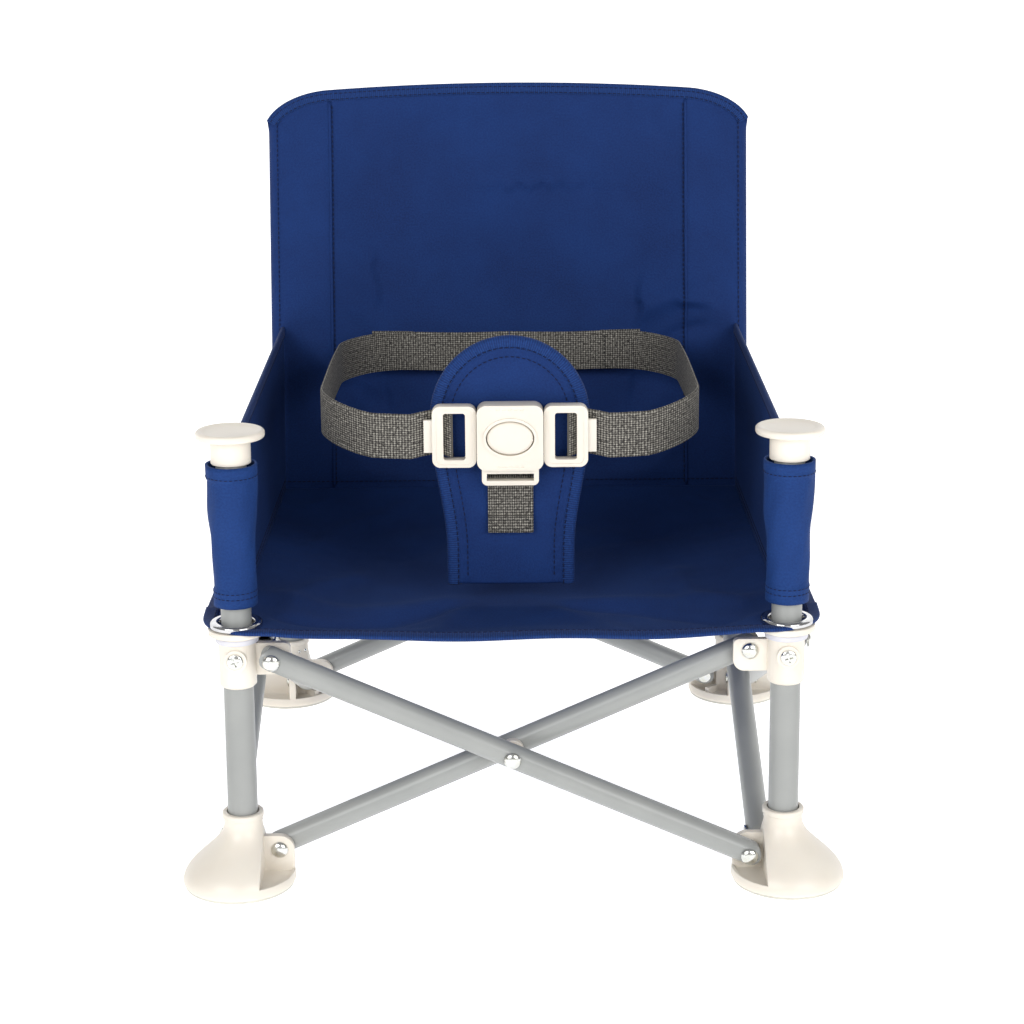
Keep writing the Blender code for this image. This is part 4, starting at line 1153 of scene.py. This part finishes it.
def make_back():
    line = evened([(x, y, 0) for x, y in back_section()], 4.2 * MM)
    far = [0.0]
    for a, b in zip(line, line[1:]):
        far.append(far[-1] + (b - a).length)
    where = dict(zip(far, line))
    tall = BACK_RISE - BACK_BOTTOM
    rows = steps_between(0, tall - 10 * MM, 4.8 * MM)
    rows += [tall - d * MM for d in (7.5, 5.2, 3.4, 1.8, 0.6, 0)]

    def place(u, v):
        p = where[u]
        z = BACK_BOTTOM + v / tall * (back_top(p.x) - BACK_BOTTOM)
        return back_place(p.x, p.y, z)

    mesh = grid(far, rows, place)

    def pin(point):
        edge = back_top(point.x) - point.z
        front = point.y - lean_at(point.z) < BACK_MID_Y + 1.2 * MM
        if not front or abs(point.x) > SEAM_X or edge < 10 * MM or point.z < BACK_BOTTOM + 5 * MM:
            return 1.0
        return 0.0

    mesh = simulated(mesh, pin, 24, 0.008, 0.9, bending=0.5, most=0.013)
    single = changed(mesh, ("SUBSURF", {"levels": 1}))
    for vertex in single.vertices:
        p = vertex.co
        inside = clamped((SEAM_X + 22 * MM - abs(p.x)) / (16 * MM))
        edge = clamped((back_top(p.x) - p.z - 8 * MM) / (14 * MM))
        low = clamped((p.z - BACK_BOTTOM - 4 * MM) / (14 * MM))
        if p.y - lean_at(p.z) < BACK_MID_Y + 6 * MM:
            p.y -= creased(p.x, p.z, BACK_CREASES) * inside * edge * low
    tree = surface_of(single)

    def on_front(x, z, lift=0.75 * MM):
        flat = Vector((x, BACK_MID_Y + lean_at(z), z))
        return onto(tree, flat, (0, 1, 0), lift)

    # Binding over the top, from one side round to the other
    xs = [BACK_WIDE * math.sin(t) for t in np.linspace(-math.pi / 2 * 0.93, math.pi / 2 * 0.93, 160)]
    rim = [Vector((x, 0, back_top(x))) for x in xs]
    centres, outs = [], []
    for k, point in enumerate(rim):
        before, after = rim[max(k - 1, 0)], rim[min(k + 1, len(rim) - 1)]
        along = (after - before).normalized()
        across = Vector((-along.z, 0, along.x))
        centre = point - across * 3.3 * MM
        centre.y = BACK_MID_Y + lean_at(centre.z) + 0.25 * MM
        across = Vector((across.x, LEAN * across.z, across.z)).normalized()
        centres.append(centre)
        outs.append((across, Vector((0, -1, LEAN)).normalized()))
    tape = swept(centres, outs, band_section(7.6 * MM, 3.0 * MM))
    rows_of = []
    for inset in (2.2 * MM, 5.9 * MM):
        line = []
        for centre, (across, up) in zip(centres, outs):
            line.append(centre + across * (3.3 * MM - inset) + up * 1.5 * MM)
        rows_of.append(stitching(line))
    for x in (-SEAM_X + 1.6 * MM, SEAM_X - 1.6 * MM, -BACK_WIDE + 7.2 * MM, BACK_WIDE - 7.2 * MM):
        stop = back_top(x) - 9 * MM
        points = [on_front(x, z) for z in np.linspace(BACK_BOTTOM + 2 * MM, stop, 90)]
        rows_of.append(stitching(points))
    points = [on_front(x, BACK_BOTTOM + 4.5 * MM) for x in np.linspace(-0.15, 0.15, 120)]
    rows_of.append(stitching(points))
    # Raised seams over the tunnels' edges
    seams = []
    for x in (-SEAM_X, SEAM_X):
        heights = np.linspace(BACK_BOTTOM + 1 * MM, back_top(x) - 7 * MM, 80)
        points = [on_front(x, z, 0.35 * MM) for z in heights]
        across = Vector((1, 0, 0))
        up = Vector((0, -1, LEAN)).normalized()
        seams.append(swept(points, [(across, up)] * len(points), band_section(1.9 * MM, 1.1 * MM)))
    # The tunnels stay round their posts, and the cloth between them is a strip of its own
    cut = SEAM_X - 2 * MM
    gathered = ((1, 0, 0), (-cut, 0, 0), 1 - HALF * (1 - KEEP) / cut)
    layers = [("", FABRIC, single), ("_binding", TAPE, tape)]
    layers += [("_stitching", THREAD, joined(rows_of)), ("_seams", FABRIC, joined(seams))]
    layers = [(ending, finish, split_at(whole, (-cut, cut))) for ending, finish, whole in layers]
    tunnel = far[-1] / 2 - cut
    strips = (
        ("back_left", "hub_rl", tunnel, [], None, ["post_rl"]),
        ("back_middle", "hub_rl", 2 * cut, ["back_panel"], gathered, ["post_rl", "post_rr"]),
        ("back_right", "hub_rr", tunnel, [], None, ["post_rr"]),
    )
    for k, (name, body, width, nodes, squash, posts) in enumerate(strips):
        made = split_pieces(name, k, layers, body, nodes, squash)


# Sides


def side_top(y):
    share = (y + HALF) / (2 * HALF)
    near = 1 - math.exp(-max(y + HALF - 11 * MM, 0) / (9 * MM))
    return 231.5 * MM + 6.0 * MM * near + 9.5 * MM * max(share, 0)


def make_side(side):
    sign = -1 if side == "left" else 1
    body = "hub_fl" if side == "left" else "hub_fr"
    squash = ((0, 1, 0), (0, -HALF, 0), KEEP)
    start = -HALF + 9.5 * MM
    low_front, low = SLEEVE_LOW, BACK_BOTTOM
    us = steps_between(0, 1, 1 / 62)
    vs = steps_between(0, 1, 1 / 22)
    vs = vs[:-1] + [0.975, 0.99, 1.0]

    def place(u, v):
        z_rear = low + v * (side_top(HALF) - low)
        y = start + u * (BACK_LOW.y - 0.4 * MM + lean_at(z_rear) - start)
        rise = 1 / (1 + math.exp(-(y + HALF - 17 * MM) / (1.6 * MM)))
        bottom = low_front + (low - low_front) * rise
        z = bottom + v * (side_top(y) - bottom)
        if u > 0.6:
            y = start + u * (BACK_LOW.y - 0.4 * MM + lean_at(z) - start)
        return Vector((sign * (HALF + 0.6 * MM), y, z))

    mesh = grid(us, vs, place)
    for loop in mesh.loops:
        point = mesh.vertices[loop.vertex_index].co
        mesh.uv_layers[0].data[loop.index].uv = (point.y, point.z)

    def pin(point):
        front, rear = point.y - start, BACK_LOW.y + lean_at(point.z) - point.y
        held = point.z > side_top(point.y) - 7 * MM or point.z < low + 4 * MM
        return 1.0 if front < 10 * MM or rear < 4 * MM or held else 0.0

    mesh = simulated(mesh, pin, 20, 0.006, 0.8, bending=0.5, most=0.008)
    single = changed(mesh, ("SUBSURF", {"levels": 1}))
    tree = surface_of(single)
    sheet = changed(single, ("SOLIDIFY", {"thickness": 1.2 * MM, "offset": 0.0}))
    cloth = soft("side_cloth_" + side, sheet, FABRIC, body, ["side_panel_" + side], squash)
    # Hem along the top
    ys = np.linspace(start + 1 * MM, BACK_LOW.y + lean_at(side_top(HALF)) - 1.2 * MM, 120)
    centres = [Vector((sign * (HALF + 0.6 * MM), y, side_top(y) - 3.0 * MM)) for y in ys]
    outs = [(Vector((0, 0, 1)), Vector((sign, 0, 0)))] * len(centres)
    hem = swept(centres, outs, band_section(6.8 * MM, 2.4 * MM))
    soft("side_hem_" + side, hem, TAPE, body, squash=squash)
    rows = []
    for out in (1, -1):
        line = [c + Vector((out * sign * 1.2 * MM, 0, -2.2 * MM)) for c in centres]
        rows.append(stitching(line))
    for offset in (4 * MM, 7 * MM):
        for out in (1, -1):
            line = []
            for y in np.linspace(start + 12 * MM, BACK_LOW.y - 6 * MM, 110):
                flat = Vector((sign * (HALF + 0.6 * MM), y, low + offset))
                line.append(onto(tree, flat, (-out * sign, 0, 0), 0.7 * MM))
            rows.append(stitching(line))
    # Sleeve round the post
    girth = 72 * MM  # of cloth, for the weave's scale
    around = [i / 56 for i in range(57)]

    def radius(share, z):
        waist = 1 / (1 + math.exp(-(z - 199 * MM) / (4.0 * MM)))
        base = 10.55 * MM + 1.95 * MM * waist
        turn = 2 * math.pi * share
        fold = 0.28 * MM * math.sin(3 * turn + z / (9 * MM))
        fold += 0.16 * MM * math.sin(7 * turn - z / (5 * MM))
        hemmed = z > SLEEVE_HIGH - 7 * MM or z < SLEEVE_LOW + 8.6 * MM
        return base + fold * 0.25 + 0.35 * MM if hemmed else base + fold

    def wrap(u, v):
        share = u / girth
        turn = 2 * math.pi * share + math.pi / 2
        r = radius(share, v)
        return Vector((sign * HALF + r * math.cos(turn), -HALF + r * math.sin(turn), v))

    heights = steps_between(SLEEVE_LOW, SLEEVE_HIGH, 2.4 * MM)
    heights = sorted(heights + [SLEEVE_HIGH - 6.9 * MM, SLEEVE_LOW + 8.5 * MM])
    tube = grid([a * girth for a in around], heights, wrap)
    tube = changed(tube, ("SOLIDIFY", {"thickness": 1.3 * MM, "offset": 0.0}))
    soft("side_sleeve_" + side, tube, SLEEVE, body)
    soft("side_stitching_" + side, joined(rows), THREAD, body, squash=squash)
    rings = []
    for z in (SLEEVE_HIGH - 6.1 * MM, SLEEVE_LOW + 5 * MM, SLEEVE_LOW + 8 * MM):
        ring = []
        for k in range(57):
            share = k / 56
            turn = 2 * math.pi * share + math.pi / 2
            r = radius(share, z) + 0.75 * MM
            ring.append(Vector((sign * HALF + r * math.cos(turn), -HALF + r * math.sin(turn), z)))
        rings.append(stitching(ring, 2.7 * MM, 2.0 * MM, 0.27 * MM))
    soft("side_sleeve_stitching_" + side, joined(rings), THREAD, body)


# Harness


def pad_half_width(z):
    narrow = 35 * MM
    if z >= PAD_SHOULDER:
        past = min((z - PAD_SHOULDER) / (PAD_HIGH.z - PAD_SHOULDER), 1.0)
        return PAD_HALF * math.sqrt(max(1 - past * past, 0))
    return narrow + (PAD_HALF - narrow) * eased(clamped((z - 165 * MM) / (72 * MM)))


def make_pad():
    low, high = PAD_LOW.z, PAD_HIGH.z
    middle_y = (PAD_LOW.y + PAD_HIGH.y) / 2
    heights = [float(z) for z in np.linspace(low, PAD_SHOULDER, 52)]
    for turn in np.linspace(0, math.pi / 2 * 0.985, 34)[1:]:
        heights.append(PAD_SHOULDER + (high - PAD_SHOULDER) * math.sin(turn))
    outline = [Vector((pad_half_width(z), 0, z)) for z in heights] + [Vector((0, 0, high))]
    outline += [Vector((-p.x, 0, p.z)) for p in outline[-2::-1]]
    outline = evened(outline, 1.2 * MM)
    flat = np.array([(p.x, p.z) for p in outline])

    def edge_of(x, z):
        gaps = np.hypot(flat[:, 0] - x, flat[:, 1] - z)
        k = int(gaps.argmin())
        return float(gaps[k]), k * 1.2 * MM

    def half_thickness(x, z, most):
        gap, along = edge_of(x, z)
        if gap < 8 * MM:
            share = min(gap / (2.4 * MM), 1.0)
            return 2.1 * MM * math.sqrt(1 - (1 - share) ** 2) + 0.01 * MM
        inner = gap - 8 * MM
        pucker = 0.35 * MM * math.sin(2 * math.pi * along / (8.5 * MM))
        pucker *= math.exp(-inner / (4 * MM)) * min(inner / MM, 1)
        dip = math.exp(-((inner - 3.1 * MM) / (0.9 * MM)) ** 2) * 0.35 * MM
        return 1.9 * MM + (most - 1.9 * MM) * (1 - math.exp(-inner / (5 * MM))) + pucker - dip

    shares = [float(s) for s in np.linspace(-1, 1, 62)]

    def face(sign, most):
        def place(u, v):
            z = v
            x = u / PAD_HALF * pad_half_width(z)
            return Vector((x, middle_y + sign * half_thickness(x, z, most), z))

        return grid([s * PAD_HALF for s in shares], heights, place)

    def pin(point):
        gap, _ = edge_of(point.x, point.z)
        strap = abs(point.x) < 25 * MM and 172 * MM < point.z < 254 * MM and point.y < middle_y
        return 1.0 if gap < 8.3 * MM or strap or point.z < low + 3 * MM else 0.0

    bm = bmesh.new()
    bm.from_mesh(joined([face(-1, 3.9 * MM), face(1, 4.6 * MM)]))
    bm.verts.ensure_lookup_table()
    wide, tall = len(shares), len(heights)
    behind = wide * tall
    rims = [(i, i + 1) for i in range(wide - 1)]
    rims += [(behind - wide + i, behind - wide + i + 1) for i in range(wide - 1)]
    rims += [(j * wide + i, j * wide + i + wide) for j in range(tall - 1) for i in (0, wide - 1)]
    for a, b in rims:
        bm.faces.new([bm.verts[k] for k in (a, b, behind + b, behind + a)])
    core = simulated(as_mesh(outward(bm)), pin, 14, 0.0, 0.0, pressure=1.6, bending=0.4, most=0.0016)
    tree = surface_of(core)
    fine = changed(core, ("SUBSURF", {"levels": 1}))
    pad = soft("padded_crotch_pad", fine, FABRIC, "harness", ["crotch_pad"])
    centres, outs = [], []
    for k, point in enumerate(outline):
        along = (outline[min(k + 1, len(outline) - 1)] - outline[max(k - 1, 0)]).normalized()
        across = Vector((along.z, 0, -along.x))
        if k == 0 or k == len(outline) - 1:
            across = Vector((math.copysign(1, point.x), 0, 0))
        centre = point - across * 3.7 * MM
        centre.y = middle_y
        centres.append(centre)
        outs.append((across, Vector((0, -1, 0))))
    soft("pad_binding", swept(centres, outs, band_section(8.0 * MM, 5.8 * MM, 5)), TAPE, "harness")
    rows = []
    for face_sign in (1, -1):
        line = [c - a * 2.2 * MM + up * (2.95 * MM * face_sign) for c, (a, up) in zip(centres, outs)]
        rows.append(stitching(line))
        inner = []
        for c, (a, up) in zip(centres[4:-4], outs[4:-4]):
            inner.append(onto(tree, c - a * 7.4 * MM, (0, face_sign, 0), 0.15 * MM))
        rows.append(stitching(inner))
    soft("pad_stitching", joined(rows), THREAD, "harness")


def make_strap():
    y = (STRAP_LOW.y + STRAP_HIGH.y) / 2
    x, up = Vector((1, 0, 0)), Vector((0, -1, 0))
    section = band_section(WEB_WIDTH, 1.5 * MM)
    heights = np.linspace(STRAP_LOW.z, STRAP_HIGH.z + 4 * MM, 26)
    points = [Vector((0, y - 0.25 * MM * math.sin((z - STRAP_LOW.z) * 90), z)) for z in heights]
    band = swept(points, [(x, up)] * len(points), section)
    piece("crotch_webbing", band, WEBBING, "harness", None, ["crotch_strap"], smooth=60)
    heights = np.linspace(STRAP_LOW.z + 0.3 * MM, STRAP_LOW.z + 9.5 * MM, 10)
    fold = [Vector((0, y - 1.6 * MM, z)) for z in heights]
    fold = [fold[0] + Vector((0, 1.0 * MM, -0.5 * MM))] + fold
    loop = ((0.2, -14), (1.5, -9), (1.7, -5), (1.9, -1.5))
    loop = [Vector((0, y - d * MM, TAIL_SLOT + z * MM)) for d, z in loop]
    for name, points in (("crotch_webbing_fold", fold), ("crotch_webbing_loop", loop)):
        band = swept(points, [(x, up)] * len(points), section)
        piece(name, band, WEBBING, "harness", smooth=60)
    front = y - 2.45 * MM
    side, low, high = 10.5 * MM, STRAP_LOW.z + 2.2 * MM, STRAP_LOW.z + 7.4 * MM
    lines = [[(-side, front, z), (side, front, z)] for z in (low, high)]
    lines += [[(x, front, low), (x, front, high)] for x in (-side, side)]
    rows = [stitching(line, *WEB_STITCH) for line in lines]
    soft("crotch_webbing_stitching", joined(rows), WEB_THREAD, "harness")


BUCKLE_MID = (BUTTON_LOW + BUTTON_HIGH) / 2
BODY_TOP = BUCKLE_HIGH.z
BODY_HALF = BODY_TOP - BUCKLE_MID.z
TAIL_SLOT = BUCKLE_LOW.z + 2.5 * MM


def oval(width, height, count=64):
    turns = (2 * math.pi * i / count for i in range(count))
    return [(width / 2 * math.cos(t), height / 2 * math.sin(t)) for t in turns]


def make_buckle():
    z, y0, y1 = BUCKLE_MID.z, BUCKLE_LOW.y, BUCKLE_HIGH.y
    middle = (y0 + y1) / 2
    half = 18 * MM
    body = stand_up(prism(rounded(-half, z - BODY_HALF, half, z + BODY_HALF, 5 * MM, 10), y0, y1))
    tail = rounded(-15.5 * MM, BUCKLE_LOW.z, 15.5 * MM, z, 3 * MM)
    tail = stand_up(prism(tail, middle - 3 * MM, middle + 3 * MM))
    slot = block((-12.8 * MM, y0 - MM, TAIL_SLOT), (12.8 * MM, y1 + MM, TAIL_SLOT + 4 * MM))
    ring = stand_up(prism([(x, z + h) for x, h in oval(29.4 * MM, 22.4 * MM)], y0 - 0.9 * MM, y0 + 2 * MM))
    pocket = stand_up(prism([(x, z + h) for x, h in oval(26.2 * MM, 19.2 * MM)], y0 - 3 * MM, y0 + 5.7 * MM))
    steps = [("UNION", tail), ("DIFFERENCE", slot), ("UNION", ring), ("DIFFERENCE", pocket)]
    for sign in (-1, 1):
        near, far = sorted((sign * (half - 9.3 * MM), sign * (half + MM)))
        hollow = block((near, y1 - 5.5 * MM, z - 10.3 * MM), (far, y1 - 0.9 * MM, z + 10.3 * MM))
        steps.append(("DIFFERENCE", hollow))
    for sign in (-1, 1):  # grip notches on the body's upper and lower edges
        for k in range(-2, 3):
            x, y, height = k * 3.2 * MM, y0 - 0.2 * MM, z + sign * (BODY_HALF - 2.2 * MM)
            notch = rod(0.55 * MM, (x - 1.1 * MM, y, height), (x + 1.1 * MM, y, height), 12)
            steps.append(("DIFFERENCE", notch))
    mesh = worked(body, *steps, bevel=0.9 * MM, angle=44, segments=3)
    piece("moulded_buckle", mesh, IVORY, "harness", None, ["buckle_body"])

    front = BUTTON_LOW.y
    rings = []
    profile = ((0.35, 0.0), (0.7, 0.12), (0.86, 0.32), (0.95, 0.7), (0.99, 1.2), (1.0, 1.8), (1.0, 5.0))
    for share, depth in profile:
        rings.append([(x * share, front + depth * MM, z + h * share) for x, h in oval(25 * MM, 18 * MM)])
    piece("crowned_button", worked(loft(rings)), IVORY, "buckle_button", None, ["buckle_button"], smooth=50)

    back = CLIP_BACK
    x0, x1 = half + 0.3 * MM, half + 24.3 * MM
    centre = (x0 + x1) / 2
    for side, sign in (("left", -1), ("right", 1)):
        plate = stand_up(prism(rounded(x0, z - 17 * MM, x1, z + 17 * MM, 4.5 * MM, 10), back - 8 * MM, back))
        tab = block((x1 - 2 * MM, back - 6 * MM, z - 9 * MM), (x1 + 4.6 * MM, back - 3.2 * MM, z + 9 * MM))
        tongue = block((half - 9 * MM, y1 - 5.2 * MM, z - 10 * MM), (x0 + 2 * MM, y1 - 1.2 * MM, z + 10 * MM))
        slot = rounded(centre - 6 * MM, z - 13 * MM, centre + 6 * MM, z + 13 * MM, 1.5 * MM)
        slot = stand_up(prism(slot, back - 9 * MM, back + MM))
        groove = rounded(x0 + 2.2 * MM, z - 15.2 * MM, x1 - 2.2 * MM, z + 15.2 * MM, 3 * MM)
        groove = stand_up(prism(groove, back - 9 * MM, back - 7.5 * MM))
        behind = block((centre + 5 * MM, back - 2.4 * MM, z - 13 * MM), (x1 + MM, back + MM, z + 13 * MM))
        parts = [plate, tab, tongue, slot, groove, behind]
        if sign < 0:
            parts = [mirrored(bm) for bm in parts]
        steps = [("UNION", parts[1]), ("UNION", parts[2]), ("DIFFERENCE", parts[3])]
        steps += [("DIFFERENCE", parts[4]), ("DIFFERENCE", parts[5])]
        mesh = worked(parts[0], *steps, bevel=0.7 * MM, angle=44, segments=3)
        piece("moulded_clip_" + side, mesh, IVORY, "clip_" + side, None, ["buckle_clip_" + side])


def make_belts():
    z = BUCKLE_MID.z
    start_y = (BUCKLE_LOW.y + BUCKLE_HIGH.y) / 2 + 1 * MM
    back_y = BELT_BACK - 0.8 * MM
    out, turn, rear_turn = 105 * MM, 42 * MM, 54.6 * MM
    back = CLIP_BACK
    front_run = [(-31.5 * MM, back - 4.4 * MM), (-35 * MM, back - 2.4 * MM), (-37.5 * MM, back - 0.9 * MM)]
    front_run += [(-43 * MM, back - 0.9 * MM), (-49 * MM, back - 2.6 * MM), (-54 * MM, start_y + 0.2 * MM)]
    front_run += arc((-out + turn, start_y + turn), turn, -106, -160, 14)
    side_run = arc((-out + turn, start_y + turn), turn, -160, -180, 6)
    side_run += arc((-out + rear_turn, back_y - rear_turn), rear_turn, 180, 112, 16)
    back_run = arc((-out + rear_turn, back_y - rear_turn), rear_turn, 112, 90, 6) + [(-0.3 * MM, back_y)]
    section = band_section(WEB_WIDTH, 1.6 * MM)

    def band(path, sign, lift=0.0):
        line = evened([(x, y, z) for x, y in path], 3 * MM)
        outs = []
        for k in range(len(line)):
            along = (line[min(k + 1, len(line) - 1)] - line[max(k - 1, 0)]).normalized()
            outs.append((Vector((0, 0, 1)), Vector((along.y, -along.x, 0))))
        centres = []
        for p, (_, inward) in zip(line, outs):
            far = max(p.y - start_y, 0) / (back_y - start_y)
            wave = 9 * MM * (1 - math.exp(-far / 0.09)) * max(1 - far, 0) ** 0.7
            wave += 0.5 * MM * math.sin(p.x * 60 + p.y * 45)
            centres.append(p + inward * lift + Vector((0, 0, wave)))
        mesh = swept(centres, outs, section)
        if sign > 0:
            bm = bmesh.new()
            bm.from_mesh(mesh)
            bm.transform(Matrix.Scale(-1, 4, (1, 0, 0)))
            bmesh.ops.reverse_faces(bm, faces=bm.faces)
            bm.to_mesh(mesh)
            bm.free()
        return mesh

    for side, sign, corner in (("left", -1, "fl"), ("right", 1, "fr")):
        clip = "clip_" + side
        anchor = (sign * 47 * MM, 0, 0)
        slant = Vector((-sign * 0.26, 0.966, 0))
        shut = ((1, 0, 0), anchor, 0.06)
        slanted = (slant, (sign * HALF, -HALF, 0), KEEP)
        squash = ((1, 0, 0), (-HALF, 0, 0), KEEP)
        for stem, run, body, nodes, how in (
            ("belt_front_", front_run, clip, ["waist_belt_" + side], shut),
            ("belt_side_", side_run, "hub_" + corner, [], slanted),
            ("belt_back_", back_run, "hub_rl", [], squash),
        ):
            piece(stem + side, band(run, sign), WEBBING, body, None, nodes, 60, how)
        far = 88 * MM if sign < 0 else 84 * MM
        flap = [(-far, back_y), (-far + 26 * MM, back_y)]
        mesh = band(flap, sign, -1.65 * MM)
        piece("belt_flap_" + side, mesh, WEBBING, "hub_rl", None, smooth=60, squash=squash)
        front, half = back_y - 2.55 * MM, 10.5 * MM
        near, end = sign * (far - 3 * MM), sign * (far - 23 * MM)
        lines = [[(x, front, z - half), (x, front, z + half)] for x in (near, end)]
        lines += [[(near, front, z + dz), (end, front, z + dz)] for dz in (-half, half)]
        rows = [stitching(line, *WEB_STITCH) for line in lines]
        soft("belt_flap_stitching_" + side, joined(rows), WEB_THREAD, "hub_rl", squash=squash)


# Studio


# The camera, solved from the photograph's feet, hubs and caps
LENS = 80.84
SHIFT_X, SHIFT_Y = 0.0022, -0.1133
PITCH, ROLL = 0.219, -0.008
CAMERA_AHEAD, CAMERA_HEIGHT = 1.1574, 0.5242  # from the front posts, and above the floor
PAPER_GLOW, SKY_LIGHT = 0.72, 0.3
LIGHT_AIM, LIGHT_SIZE = (0, 0, 0.15), (1.3, 1.0)


def area_light(name, place, power):
    light = bpy.data.lights.new(name, "AREA")
    light.shape = "RECTANGLE"
    light.size, light.size_y = LIGHT_SIZE
    light.energy = power
    made = linked(name, light)
    made.location = place
    made.rotation_euler = (Vector(LIGHT_AIM) - Vector(place)).to_track_quat("-Z", "Y").to_euler()


def make_studio():
    scene = bpy.context.scene
    g = Graph("pale_paper", 0.9)
    g.set("Base Color", (0.93, 0.93, 0.93, 1.0))
    g.set("Specular IOR Level", 0.1)
    g.set("Emission Color", (1.0, 1.0, 1.0, 1.0))
    g.set("Emission Strength", PAPER_GLOW)
    # One sheet of paper: the floor, a bend, and the wall behind
    profile = [(-8.0, 0.0), (2.2, 0.0)] + arc((2.2, 1.5), 1.5, -90, 0, 16) + [(3.7, 7.0)]
    bm = bmesh.new()
    rows = [[bm.verts.new((x, y, z)) for y, z in profile] for x in (-9.0, 9.0)]
    for k in range(len(profile) - 1):
        bm.faces.new((rows[0][k], rows[1][k], rows[1][k + 1], rows[0][k + 1]))
    mesh = as_mesh(bm)
    mesh.shade_smooth()
    mesh.materials.append(g.material)
    paper = linked("paper", mesh)
    world = bpy.data.worlds.new("studio")
    scene.world = world
    world.use_nodes = True
    sky = world.node_tree.nodes["Background"]
    sky.inputs["Color"].default_value = (1.0, 1.0, 1.0, 1.0)
    sky.inputs["Strength"].default_value = SKY_LIGHT
    area_light("key", (-1.1, -2.0, 1.15), 24)
    area_light("fill", (1.2, -1.9, 1.0), 22)
    camera = bpy.data.cameras.new("camera")
    camera.sensor_width = 36
    camera.lens = LENS
    camera.shift_x = SHIFT_X
    camera.shift_y = SHIFT_Y
    made = linked("camera", camera)
    place = Vector((0, -HALF - CAMERA_AHEAD, CAMERA_HEIGHT)) + MIDDLE
    turn = Matrix.Rotation(math.pi / 2 - PITCH, 4, "X") @ Matrix.Rotation(ROLL, 4, "Z")
    made.matrix_world = Matrix.Translation(place) @ turn
    scene.camera = made
    scene.view_settings.view_transform = "Standard"


SLEEVE = fabric_material("royal_twill", (0.0036, 0.0185, 0.092), (0.0108, 0.054, 0.225), 0.75 * MM)

make_corners()
make_sides()
make_post_ends()
make_grommets()
make_seat()
make_back()
make_side("left")
make_side("right")
make_pad()
make_strap()
make_buckle()
make_belts()
make_studio()
